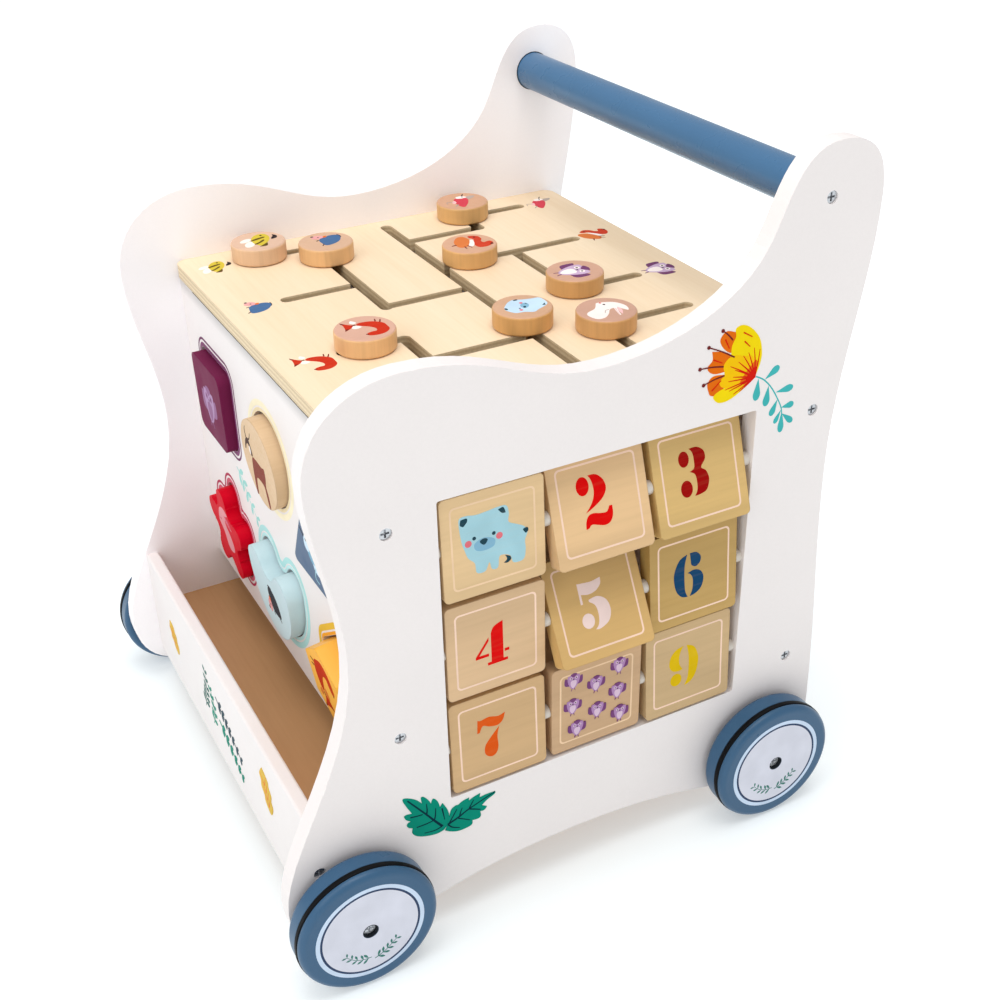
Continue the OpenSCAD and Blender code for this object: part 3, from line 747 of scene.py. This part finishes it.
# ---------------------------------------------------------------- animals
def hedgehog(back="blue"):
    return [
        fill(back, (-8.6, 7.4), (-6, 11.6), (-1, 11), (4, 8), (7.4, 2.6), (7.6, -2.4), (2, -3.6),
            (-3.4, -3.2), (-7, 0.6)),
        fill("face_pink", (-7.4, 2.6), (-5.6, -2.8), (-7.6, -6.4), (-11, -5.4), (-12, -2),
            (-10, 1.4)),
        fill("ember", (-9.6, 3.4, 1), (-7, 3.6), (-6.4, 0.8, 1), (-8.6, 1.4)),
        dot("black", -11.4, -5.2, 1.0), dot("black", -8.6, -2.0, 0.6),
        brush("black", [(-8, 11), (-5, 12), (-2, 11.6)], 0.6, 0.5),
        brush("black", [(-3.6, -3.4), (-2.4, -5.4)], 0.9, 0.7),
        brush("black", [(5, -3), (7.4, -4.8)], 0.9, 0.7),
    ]


ANIMALS = {
    "bee": [
        dot("wing", 4.5, -7, 5.6, 3.2, -30), dot("wing", -3, -7.6, 4.6, 2.6, -60),
        fill("bee", (-10, 7.6), (-4, 9), (3, 6.6), (9, 1.6), (9.6, -1.6), (5, -4), (-2, -4),
            (-8, -1), (-11, 3.4)),
        fill("bee_dark", (0, 3.6), (2.4, 3.4), (6.6, -2.6), (5.4, -4.2), (3.6, -1)),
        fill("bee_dark", (-5, 5.6), (-3, 5), (-0.4, -3.6), (-2, -4), (-4, 0)),
        fill("bee_dark", (6, 4.4, 1), (11.6, 2.4), (11.4, -2.6, 1), (9.4, 0)),
        fill("black", (-6.4, 12), (-3, 14), (0.6, 12.6), (1.4, 9), (-1, 9.6), (-3.4, 11.4)),
        dot("black", -8, 4.6, 0.9),
    ],
    "hedgehog": hedgehog(),
    "fox": [
        fill("fox", (-8, 1), (-6.6, 7), (-2, 12), (3, 12.6), (8, 12), (11.6, 8), (12.4, 3),
            (11, -1.6), (8, -1.8), (6.8, 1.4), (6.6, 4.6), (3.6, 5.4), (0, 3.4), (-3, 0),
            (-5.6, -2.6), (-7.4, -1.6)),
        fill("cream", (-5, -3.4), (-2.6, -0.8), (-1, -3), (-1.6, -6), (-4.6, -6.4)),
        fill("fox", (-13, -10.4, 1), (-8.4, -6.6), (-6.6, -4.2, 1), (-3.4, -6.6), (-0.4, -11.6, 1),
            (-4, -10.4), (-9, -9.8)),
        fill("fox_dark", (-13, -10.4, 1), (-10, -8.2), (-10.4, -10.2, 1)),
        fill("fox_dark", (-0.4, -11.6, 1), (-2.6, -8.4), (-3, -10.6, 1)),
        fill("cream", (-12.6, -3.6), (-9.4, -1.4), (-7.8, -3.4), (-10, -5.2)),
        brush("fox_dark", [(-3.6, 11), (-7, 12.6)], 1.0, 0.6),
        brush("fox_dark", [(-5.6, 9), (-8.6, 9.8)], 1.0, 0.6),
        brush("fox_dark", [(-6.4, -3), (-6.2, -5.4)], 1.2, 0.6),
        brush("fox_dark", [(10, -1.6), (8.6, -2.8)], 0.9, 0.5),
    ],
    "bird": [
        fill("grey", (-6, 12), (-3, 10.4), (-1, 5), (-4, 3), (-7, 6)),
        fill("rose", (-7, 2.4), (-3, 5.2), (3, 3.4), (9, -0.6), (12.6, -4.6), (8, -6.6), (0, -6),
            (-5.4, -3.6)),
        fill("cream", (-9, 4), (-5.4, 6), (-4.4, 1.6), (-5.8, -1.6), (-9, -0.4)),
        brush("black", [(-8.8, 4), (-13, 6.8)], 1.1, 0.4), dot("black", -7, 3.4, 0.7),
        fill("blush", (-2, -5), (2, -5.4), (3.4, -8), (-0.6, -7.6)),
        brush("grey", [(6, -6), (9.4, -9.6)], 1.3, 0.6),
        brush("grey", [(0, -6), (-1.6, -11), (2, -12)], 0.7, 0.5),
    ],
    "squirrel": [
        fill("rust", (-12, 5), (-9.4, 10), (-4, 10.6), (0, 8.4), (3, 9), (2.4, 13.4), (6.6, 13.8),
            (10.4, 9), (10, 3), (6, 1.4), (0, 3), (-5, 5.4), (-9, 4)),
        fill("rust_light", (-12, 1.6), (-6, 2.6), (0, 0), (5, -4), (4.6, -8.6), (0, -9.6),
            (-6, -8.4), (-11, -5), (-13.4, -1.6)),
        fill("cream", (-4, 4.4), (2, 2.6), (6, -0.4), (4, -2.4), (-1, 0.6), (-5, 2.8)),
        fill("fox_dark", (5.6, 13.6, 1), (8.4, 13.2), (9, 10.8, 1), (7, 11.6)),
        brush("fox_dark", [(3, -3), (8, -2)], 1.1, 0.4),
        brush("fox_dark", [(4, -5.6), (8.6, -6)], 1.0, 0.4),
        brush("fox_dark", [(-1, -9), (-0.4, -12.6)], 1.4, 0.6), dot("black", -8.4, 7.6, 0.8),
    ],
    "owl": moved(little_owl(), 0, -1, 0, 1.04),
    "bear": [
        fill("bear_blue", (-9, 4), (-7.4, 10), (-6.6, 14.6), (-2, 15.6), (3, 15), (6, 11.6),
            (8.6, 6), (10.6, 2), (8, -3), (7, -8), (3, -10.6), (-1, -11.4), (-5.6, -8.4),
            (-9.4, -4.4), (-11, 0)),
        fill("teal_dark", (2, 13.6, 1), (5, 12.6), (4.2, 10.8, 1)),
        dot("teal_dark", -10, 0.6, 0.9, 1.5), dot("teal_dark", -0.8, -10.4, 1.5, 0.9),
        dot("sky_dark", -0.4, 1.6, 3.8, 2.6, -30), dot("teal_dark", 1.6, 0.6, 1.4, 0.9, -30),
        dot("teal_dark", -2.6, 3.6, 0.6), dot("teal_dark", 2.2, -3, 0.6),
        dot("pink", -4.6, 1.4, 1.1), dot("pink", 4.6, -3.4, 1.1),
    ],
    "bunny": [
        fill("cream", (-10, 3), (-7, 9), (-2, 12), (3, 12.4), (7, 10.6), (4, 8.6), (1, 7), (1, 2),
            (6, -2), (10, -7), (9.4, -12), (3, -14), (-1, -12), (-3.6, -6), (-7, -3),
            (-10.4, -0.6)),
        fill("blush", (0, 7.4, 1), (5, 7.6), (10.6, 4.6, 1), (5, 5.2)),
        brush("cream", [(0, 6), (5, 4.2), (11, 2.8)], 2.0, 0.8),
        brush("blush", [(1.4, 5.2), (5.6, 3.9), (9.6, 3.2)], 0.8, 0.4),
        dot("black", -6.6, 2.4, 0.8), dot("pink", -9.6, 1.6, 0.8),
        brush("grey", [(1, 1), (1.6, -1.6), (4.4, -3.4)], 0.6, 0.4),
    ],
}
for animal, art in ANIMALS.items():
    face = Face("knob_" + animal, UP, BACK)
    printed("print_knob_" + animal, "knob_" + animal, "beech", face, art, on_wood=True)

# The same animals beside the ends of the slots: x, y, turn and size
ON_BOARD = {
    "bee": (-130.5, -97.5, 0, 0.86), "hedgehog": (-51.5, -98, -14, 0.9),
    "fox": (39.5, -96, 0, 0.95), "bear": (110, -98, 0, 0.8), "bird": (-131, 147, 0, 0.9),
    "squirrel": (-54, 146, 60, 0.85), "owl": (20, 150, 0, 0.96), "bunny": (90, 150, 0, 0.8),
}
board_top = Face("maze_board", UP, BACK)
for animal, (x, y, turn, size) in ON_BOARD.items():
    printed("print_board_" + animal, "frame", "birch_plywood", board_top,
            moved(ANIMALS[animal], x, y, turn, size), (0, 0), True)


# ---------------------------------------------------------------- shape sorter
RINGS = {  # block: inner ink, its width, gap to, outer ink, outer edge
    "block_square": ("plum_band", 3.0, 4.7, "plum_line", 6.4),
    "block_circle": ("butter_deep", 2.4, 3.6, "butter", 7.6),
    "block_triangle": ("sky_line", 2.4, 3.8, "sky_line", 6.6),
    "block_flower": ("crimson_band", 3.0, 4.7, "crimson", 6.6),
    "block_heart": ("mint_band", 2.4, 3.6, "mint_line", 7.6),
    "block_hexagon": ("amber_deep", 2.2, 3.5, "amber", 7.6),
}
WIDEST_HOLE = 100
HOLE_MARGIN = 0.15  # from a hole's edge to its first ring of ink
sorter_front = Face("sorter_board", FRONT, UP)
art = []
for block, (inner, wide, gap, outer, edge) in RINGS.items():
    low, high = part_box(block)
    cx, cz = (low[0] + high[0]) / 2 / MM, (low[2] + high[2]) / 2 / MM
    holes = [loop for loop in sorter_front.loops
             if max(x for x, z in loop) - min(x for x, z in loop) < WIDEST_HOLE]
    hole = min(holes, key=lambda loop: math.dist(
        (cx, cz), (sum(p[0] for p in loop) / len(loop), sum(p[1] for p in loop) / len(loop))))
    if not turns_left(hole):
        hole = hole[::-1]
    art.append((inner, [grown(hole, wide), grown(hole, HOLE_MARGIN)]))
    art.append((outer, [grown(hole, edge), grown(hole, gap)]))


def sprig(points, leaves, long, wide, tint, stem=0.7, start=0.12):
    """Curved stem with paired leaves."""
    out = [brush(tint, points, stem, stem * 0.5)]
    for k in range(leaves):
        t = start + (1 - start) * k / (leaves - 1) * 0.98
        where = t * (len(points) - 1)
        i = min(int(where), len(points) - 2)
        (x0, y0), (x1, y1) = points[i:i + 2]
        x, y = x0 + (x1 - x0) * (where - i), y0 + (y1 - y0) * (where - i)
        along = math.atan2(y1 - y0, x1 - x0)
        for side in (1, -1):
            a = along + side * math.radians(48)
            size = long * (1 - 0.35 * t)
            out.append((tint, [leaf(x, y, x + size * math.cos(a), y + size * math.sin(a),
                                    wide * (1 - 0.3 * t), 0.6)]))
    return out


art += sprig([(-77.5, 206.2), (-67, 201.1), (-58.3, 191.8), (-45.2, 182.9)], 5, 10.5, 4.4,
             "mint_sprig")
printed("print_sorter_board", "frame", "white_paint", sorter_front, art, (0, 0))

DEER = [
    fill("deer", (-11, 0), (-4, 1), (5, 0.4), (9.6, 1.4), (10, -5), (8, -12), (10, -18),
        (10.4, -26), (8, -26.6), (6, -19), (4, -13), (-7, -12.6), (-10, -18), (-11, -26),
        (-14, -26), (-14, -17), (-13.4, -8)),
    fill("deer_dark", (-12.6, 1), (-9.4, 2), (-12, 9), (-15, 12), (-19.6, 9), (-22.6, 2),
        (-21.4, 1.6), (-18.6, 6), (-15, 7)),
    brush("deer_dark", [(-15, 11), (-11, 13), (-8, 18)], 1.4, 0.5),
    brush("deer_dark", [(-17, 11), (-18, 16), (-16, 20)], 1.4, 0.5),
    dot("cream", -13.4, 4, 1.4, 3),
]
BLOCK_ART = {
    "block_square": (moved(little_owl("lilac_faint", "lilac_thin", "lilac_faint"), 0, -2, 0, 1.3),
                     "purple_paint"),
    "block_circle": (DEER, "beech"),
    "block_triangle": (moved(ANIMALS["bird"], 4, -6, 0, 1.5), "slate_blue_paint"),
    "block_flower": (moved(ANIMALS["bunny"], 0, 2, 0, 1.25), "red_paint"),
    "block_heart": (moved(hedgehog("coal"), 5, -5, 0, 1.2), "mint_paint"),
    "block_hexagon": (moved(ANIMALS["fox"], -1, 0, 25, 1.5), "orange_paint"),
}
RECOLOUR = {
    "block_triangle": {"rose": "sky_dark", "grey": "sky", "cream": "snow", "blush": "snow"},
    "block_flower": {"cream": "pale_pink", "blush": "crimson_band", "black": "crimson"},
    "block_square": {"black": "plum", "cream": "lilac_thin"},
    "block_hexagon": {"cream": "rust_light"},
}
for block, (art, slot) in BLOCK_ART.items():
    swap = RECOLOUR.get(block, {})
    art = [(swap.get(tint, tint), loops) for tint, loops in art]
    face = Face(block, FRONT, UP)
    printed("print_" + block, block, slot, face, art, on_wood=block == "block_circle")


# ---------------------------------------------------------------- dark strips and rings
def shadow_gap_strip():
    """Dark strip under the overhang of the maze board, painted shade that stands in for the shadow
    in the gap there; it stops short of the far panel.
    """
    board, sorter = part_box("maze_board"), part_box("sorter_board")
    front, back, top = board[0][1] + 0.3 * MM, sorter[0][1] + 2 * MM, board[0][2]
    foot = top - 1.7 * MM
    half, middle, bulge = (top - foot) / 2, (top + foot) / 2, 0.5 * MM
    profile = [(back, foot), (back, top)]
    for k in range(9):
        a = math.radians(90 + 22.5 * k)
        profile.append((front + bulge + bulge * math.cos(a), middle + half * math.sin(a)))
    ends = (board[0][0] + 34 * MM, board[1][0] - 0.2 * MM)
    bm = bmesh.new()
    rings = [[bm.verts.new((x, y, z)) for y, z in profile] for x in ends]
    count = len(profile)
    for k in range(count):
        n = (k + 1) % count
        bm.faces.new((rings[0][k], rings[0][n], rings[1][n], rings[1][k]))
    bm.faces.new(rings[0][::-1])
    bm.faces.new(rings[1])
    bmesh.ops.recalc_face_normals(bm, faces=bm.faces)
    add_piece("shadow_gap_strip", bm, "frame", "black_rubber", rubber("shadow_gap_brown", rgb(36, 26, 20)))


shadow_gap_strip()


# ---------------------------------------------------------------- wheels
def wheel_art():
    """Rim, ring and disc, and two sprigs at the bottom."""
    art = [
        ("disc_rim", [oval(0, 0, 33.5, steps=72), oval(0, 0, 4.9, steps=32)]),
        ("disc_line", [oval(0, 0, 30.9, steps=72), oval(0, 0, 29.0, steps=72)]),
        ("disc", [oval(0, 0, 29.5, steps=72), oval(0, 0, 4.9, steps=32)]),
    ]
    art += sprig([(-1, -20.5), (-6, -20), (-11.5, -17.5), (-16, -13)], 5, 5.2, 1.7,
                 "sprig_wheel", 0.6)
    art += sprig([(1, -22.5), (6, -20.5), (10.5, -17.5), (15, -13.5)], 5, 5.2, 1.7,
                 "sprig_wheel", 0.6)
    return art


def turned_ring(name, body, at, profile):
    """Dark ring turned from a closed profile of (radius, lift); at places (x, y, lift)."""
    steps = 48
    bm = bmesh.new()
    rings = []
    for k in range(steps):
        a = 2 * math.pi * k / steps
        rings.append([bm.verts.new(at(r * math.cos(a), r * math.sin(a), lift))
                      for r, lift in profile])
    for k in range(steps):
        one, two = rings[k], rings[(k + 1) % steps]
        for i in range(len(profile)):
            n = (i + 1) % len(profile)
            bm.faces.new((one[i], one[n], two[n], two[i]))
    bmesh.ops.recalc_face_normals(bm, faces=bm.faces)
    add_piece(name, bm, body, "black_rubber", sleeve_black)


SLEEVE = [(4.72, -5.4), (4.72, -0.3), (4.5, 0.05), (4.3, 0.05), (4.15, -0.2), (4.15, -5.4)]
for wheel in sorted(n for n in NODES if n.startswith("wheel_")):
    outer = RIGHT if wheel.endswith("right") else LEFT
    face = Face(wheel, outer, UP)
    printed("print_" + wheel, wheel, "blue_paint", face, wheel_art())
    turned_ring("sleeve_" + wheel, wheel, lambda x, y, lift: face.at(
        face.mid[0] + x, face.mid[1] + y, lift), SLEEVE)

# Dark ring where the handle enters each side panel: painted shade that stands in for the shadow in
# the gap round the handle
low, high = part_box("handle_bar")
bar_y, bar_z = (low[1] + high[1]) / 2, (low[2] + high[2]) / 2
bar_r = (high[2] - low[2]) / 2 / MM
GAP_SHADE_PROFILE = [(bar_r + 0.02, -0.3), (bar_r + 0.6, -0.3), (bar_r + 0.6, 0.05), (bar_r + 0.4, 0.12),
         (bar_r + 0.02, 0.12)]
for side, outward in (("left", 1), ("right", -1)):
    low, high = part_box("side_panel_" + side)
    wall = high[0] if side == "left" else low[0]
    turned_ring("handle_gap_shade_" + side, "frame", lambda y, z, lift: (
        wall + outward * lift * MM, bar_y + y * MM, bar_z + z * MM), GAP_SHADE_PROFILE)


# ---------------------------------------------------------------- panel and lip decorations
def flower(x, y):
    """Open bloom with a base at its lower right; x, y is its middle."""
    base = (16.5, -12.5)
    art = [
        fill("ember", (-8.4, 15), (-5, 19.4), (0, 18.4), (4, 16), (5, 8), (0, 6), (-5, 9)),
        fill("ember", (-13.2, 9.6, 1), (-7, 8.2), (-1, 5), (-1, -3), (-9, -4.4), (-14, -2.4),
            (-15.6, 1), (-12.6, 4.4)),
        fill("ember", (-15, -9), (-11.6, -5.4), (-5, -6), (-1, -8), (-6, -17), (-12, -17),
            (-14, -14)),
        fill("petal", (1.6, 19.6), (6, 21), (12, 18), (18, 11), (20.4, 3), (20.2, -4),
            (17, -13, 1), (8, -8), (1, 0), (-0.4, 9), (2, 15)),
        fill("petal", (17, -13, 1), (8, -19), (0, -22.6), (-7, -22.4), (-10.6, -18), (-6, -15),
            (2, -14)),
        fill("petal_deep", (17, -13, 1), (8, -17), (-4, -14), (-7, -10), (-4, -6), (-5, -1),
            (-2, 3), (3, 4), (9, 2), (15, 0)),
        fill("ember", (17, -13, 1), (11, -15.4), (7, -14), (9, -10), (13, -5.6), (17, -2),
            (18.4, -6)),
        fill("ember_dark", (17.4, -13, 1), (13, -13.8), (10.6, -12), (13.6, -8.6), (16.6, -6),
            (18, -8)),
    ]
    for ex, ey in ((19, 4), (15, 5.6), (11.4, 3.6), (8, 2.4), (5, -0.6), (-0.4, -2), (3, -5),
                   (-1, -11), (2, -9), (-3, -15.6), (0, -17), (3, -19.6), (7, -19)):
        bend = ((base[0] + ex) / 2 + 0.6, (base[1] + ey) / 2)
        art.append(brush("ember_dark", [base, bend, (ex, ey)], 1.3, 0.35))
    for tip, root in (((-7, 20.4), (0, 13.6)), ((-15.6, 12.6), (2, 3)), ((-20.6, 1), (-5, -1)),
                      ((-17.6, -9.2), (-4, -6.6))):
        bend = ((tip[0] + root[0]) / 2, (tip[1] + root[1]) / 2 + 0.5)
        art.append(brush("stamen", [tip, bend, root], 0.6, 0.9))
        art.append(dot("stamen", *tip, 1.1))
    for x0, y0, x1, y1 in ((-5, 15, -2, 9), (-12, 4.6, -6, 1.4), (-12, -14, -6, -9),
                           (7, 16.4, 13, 12.6), (8, 11, 12, 7)):
        art.append(brush("ember_dark", [(x0, y0), (x1, y1)], 0.8, 0.4))
    return moved(art, x, y)


def paddle(x0, y0, x1, y1, wide):
    """Leaf that widens from its stem to a round tip."""
    dx, dy = x1 - x0, y1 - y0
    long = math.hypot(dx, dy)
    nx, ny = -dy / long * wide, dx / long * wide

    def at(a, b):
        return (x0 + dx * a + nx * b, y0 + dy * a + ny * b)

    return smooth([(x0, y0, 1), at(0.4, 0.3), at(0.72, 0.5), at(0.93, 0.34), at(1, 0),
                   at(0.93, -0.34), at(0.72, -0.5), at(0.4, -0.3)])


LEAF_LEFT = [
    (-88.3, 74.2, 1), (-85.8, 78.1), (-84.9, 83.3), (-85.6, 88.5), (-88.6, 95.1, 1),
    (-90.4, 92.7, 1), (-91.4, 97.3), (-93.8, 100.9), (-95.2, 100.1), (-95.8, 97.8, 1),
    (-97.4, 101.4), (-100.1, 105), (-101.9, 105.1), (-101.5, 100.6, 1), (-103.8, 103.7),
    (-106.8, 106.4), (-111.1, 108.9), (-113.2, 108.7), (-112.1, 104.6), (-108.1, 95.9, 1),
    (-111.2, 96.4), (-113, 95.8), (-111.9, 92.8), (-108.9, 90.2, 1), (-110.9, 89.8),
    (-111.7, 87.9), (-110.5, 86), (-108.1, 84.7, 1), (-108.7, 81.4), (-107, 78.4), (-103.1, 75.8),
    (-97.6, 74), (-92.6, 73.3),
]
LEAF_RIGHT = [
    (-87.9, 73.3, 1), (-86.1, 77.4), (-85, 82.2), (-83.3, 87.4), (-80.7, 89.2), (-78.6, 89.1, 1),
    (-75.5, 90.8), (-71.5, 91.4, 1), (-71.9, 89.1, 1), (-68.5, 90.6), (-64.2, 91.6, 1),
    (-64.7, 88.5, 1), (-60, 89), (-54.2, 88.7, 1), (-54.9, 86.9), (-59.7, 84.7), (-63.5, 81.8, 1),
    (-60, 79.5, 1), (-61.8, 77.5), (-64.7, 77.6, 1), (-64.2, 74.4), (-65.7, 72.6), (-69.9, 73, 1),
    (-70.1, 70.4), (-71.8, 69.2), (-75.9, 68.7), (-80.6, 69.2), (-85.2, 71.3),
]
LEAF_VEINS = [
    ([(-89.4, 77.4), (-94.6, 84.5), (-99.1, 91.1), (-110.4, 106.8)], 1.9, 1.0),
    ([(-99.1, 91.1), (-98.6, 94.2), (-98.8, 99.3)], 1.3, 0.6),
    ([(-101.5, 92.3), (-105.3, 92.7), (-109.4, 93.5)], 0.9, 1.1),
    ([(-94.6, 84.5), (-93.7, 87.5), (-93.2, 93.4)], 1.3, 0.6),
    ([(-95.5, 84.5), (-99.9, 84.1), (-105.8, 84.2)], 1.0, 0.9),
    ([(-87.9, 82), (-88.4, 86.1), (-89.2, 91.4)], 0.5, 1.1),
    ([(-90, 77.6), (-94.3, 76.6), (-101.1, 77.5)], 1.0, 0.6),
    ([(-86.1, 77.2), (-78.3, 79.9), (-72.1, 82.9), (-54.6, 88.6)], 1.7, 0.8),
    ([(-84.9, 78.1), (-82.9, 81.3), (-79.8, 86.3)], 1.0, 0.7),
    ([(-78.1, 80.3), (-77.4, 83.2), (-76.2, 86)], 1.1, 0.6),
    ([(-71.8, 83.3), (-70.5, 85.6), (-68.6, 88.7)], 1.1, 0.6),
    ([(-79, 78.8), (-75.6, 76.7), (-71.4, 74)], 1.0, 0.6),
    ([(-72.1, 83), (-68.3, 81.1), (-64.4, 79.1)], 1.1, 0.8),
    ([(-85.9, 77.1), (-83.2, 73.8), (-78.4, 71.2)], 1.2, 0.6),
]


# From each leaf's stem to its tip, and its width
SPRIG_LEAVES = [
    (116.3, 315.8, 115.6, 302.3, 5.0), (120.8, 314, 130.3, 320.1, 4.8),
    (123.9, 309.6, 122.7, 297, 4.8), (129.3, 304, 141.6, 304.7, 4.6),
    (131.2, 299.4, 126.9, 289.7, 4.2), (134.2, 293.2, 143.2, 293.7, 4.2),
    (134.4, 291.8, 130.3, 284, 3.2), (135.2, 290.6, 135.2, 277.1, 4.2),
    (135.2, 289.2, 143.3, 282, 3.8),
]


def panel_art():
    """A sprig and a flower near the top, and a pair of leaves near the bottom."""
    art = [
        brush("sprig", [(114.4, 317.5), (120.1, 314.1), (125.9, 307.9), (131.2, 299.5),
            (134.3, 293.2), (135.2, 289)], 0.9, 0.7),
    ]
    art += [("sprig", [paddle(*where)]) for where in SPRIG_LEAVES]
    art += flower(96.5, 330)
    for outline in (LEAF_LEFT, LEAF_RIGHT):
        art.append(("leaf_teal", [smooth(outline, 4)]))
    art += [brush("vein", line, wide * 0.9, tip * 0.9) for line, wide, tip in LEAF_VEINS]
    return art


right_face = Face("side_panel_right", RIGHT, UP)
printed("print_panel_right", "frame", "white_paint", right_face, panel_art(), (0, 0))
left_face = Face("side_panel_left", LEFT, UP)
printed("print_panel_left", "frame", "white_paint", left_face,
        moved(panel_art(), flip=True), (0, 0))

lip_face = Face("tray_lip", FRONT, UP)
art = sprig([(-38, 54), (-33, 64), (-29, 75), (-27, 90)], 6, 9, 4.4, "sprig_dark", 1.0)
art += sprig([(-22, 50), (-17, 59), (-16, 70), (-19, 80)], 5, 8, 4, "leaf_teal", 0.9)
art += sprig([(-8, 82), (6, 76), (20, 70), (36, 62)], 7, 8, 4.2, "teal_dark", 1.0)
art += sprig([(-6, 64), (8, 58), (22, 52), (34, 46)], 6, 8, 4.6, "leaf_teal", 1.0)
bloom = [fill("gold", (-13, 0), (-8, 5.4), (-4, 5), (0, 7.4), (4, 5.6), (8, 6), (13, 0, 1),
              (8, -6), (4, -5.6), (0, -7.4), (-4, -5), (-8, -5.4))]
bloom += [brush("ember", [(-9 + 4 * k, 0), (-6 + 4 * k, side * 2), (-3 + 4 * k, side * 4.4)],
                0.9, 0.4) for k in range(4) for side in (1, -1)]
for place in ((-105, 68, 118, 1.0), (88, 77, 105, 1.25)):
    art += moved(bloom, *place)
printed("print_tray_lip", "frame", "white_paint", lip_face, art, (0, 0))


# ---------------------------------------------------------------- floor, lights and camera
FLOOR_HALF = 6.0
FLOOR_COLOUR, FLOOR_GLOW = (0.67, 0.71, 0.72, 1), (1, 1.04, 1.06, 1)
WORLD_STRENGTH = 0.63
# Name, power, side, place and aim
LIGHTS = (("key", 19, 1.2, (0.26, -0.1, 2.05), (0, 0, 0.25)),
          ("front", 8, 1.2, (0.35, -1.4, 1.45), (0, 0, 0.2)),
          ("side", 1.6, 1.0, (1.0, -1.5, 0.9), (0, 0, 0.2)))
CAMERA_PLACE = (0.7092, -0.3304, 0.6520)
CAMERA_ANGLES = (62.427, -31.274, -1.288)  # heading, tilt and roll, in degrees


def studio():
    """White floor that glows more with distance, an even white world, and soft lights."""
    mesh = bpy.data.meshes.new("studio_floor")
    mesh.from_pydata([(x * FLOOR_HALF, y * FLOOR_HALF, 0)
                      for x, y in ((-1, -1), (1, -1), (1, 1), (-1, 1))], [], [(0, 1, 2, 3)])
    floor = bpy.data.objects.new("studio_floor", mesh)
    scene.collection.objects.link(floor)
    f = Finish("studio_white", gloss=0.1)
    away = f.node("ShaderNodeVectorMath", operation="LENGTH")
    f.join(f.place, away.inputs[0])
    f.shader.inputs["Emission Color"].default_value = FLOOR_GLOW
    f.put(f.shader.inputs["Emission Strength"],
          f.span(away.outputs["Value"], 0.2, 0.62, 0.33, 0.62))
    mesh.materials.append(f.done(FLOOR_COLOUR, 0.9, None))
    world = bpy.data.worlds.new("studio")
    scene.world = world
    world.use_nodes = True
    back = world.node_tree.nodes["Background"]
    back.inputs[0].default_value = (1, 1, 1, 1)
    back.inputs[1].default_value = WORLD_STRENGTH
    for name, power, size, place, aim in LIGHTS:
        lamp = bpy.data.lights.new(name, "AREA")
        lamp.shape = "RECTANGLE"
        lamp.size = lamp.size_y = size
        lamp.energy = power
        obj = bpy.data.objects.new(name, lamp)
        obj.location = place
        obj.rotation_euler = (Vector(aim) - Vector(place)).to_track_quat("-Z", "Y").to_euler()
        scene.collection.objects.link(obj)


def camera():
    """Camera from its solved place, heading, tilt, roll and focal length."""
    yaw, pitch, roll = (math.radians(a) for a in CAMERA_ANGLES)
    ahead = Vector((-math.sin(yaw) * math.cos(pitch), math.cos(yaw) * math.cos(pitch),
                    math.sin(pitch)))
    level = Vector((math.cos(yaw), math.sin(yaw), 0))
    above = level.cross(ahead)
    across = level * math.cos(roll) + above * math.sin(roll)
    over = above * math.cos(roll) - level * math.sin(roll)
    data = bpy.data.cameras.new("camera")
    data.sensor_width = 36.0
    data.lens = 49.59
    data.shift_x, data.shift_y = 0.0007, 0.01
    data.clip_start, data.clip_end = 0.05, 30
    obj = bpy.data.objects.new("camera", data)
    turn = Matrix((across, over, -ahead)).transposed().to_4x4()
    obj.matrix_world = Matrix.Translation(CAMERA_PLACE) @ turn
    scene.collection.objects.link(obj)
    scene.camera = obj


studio()
camera()
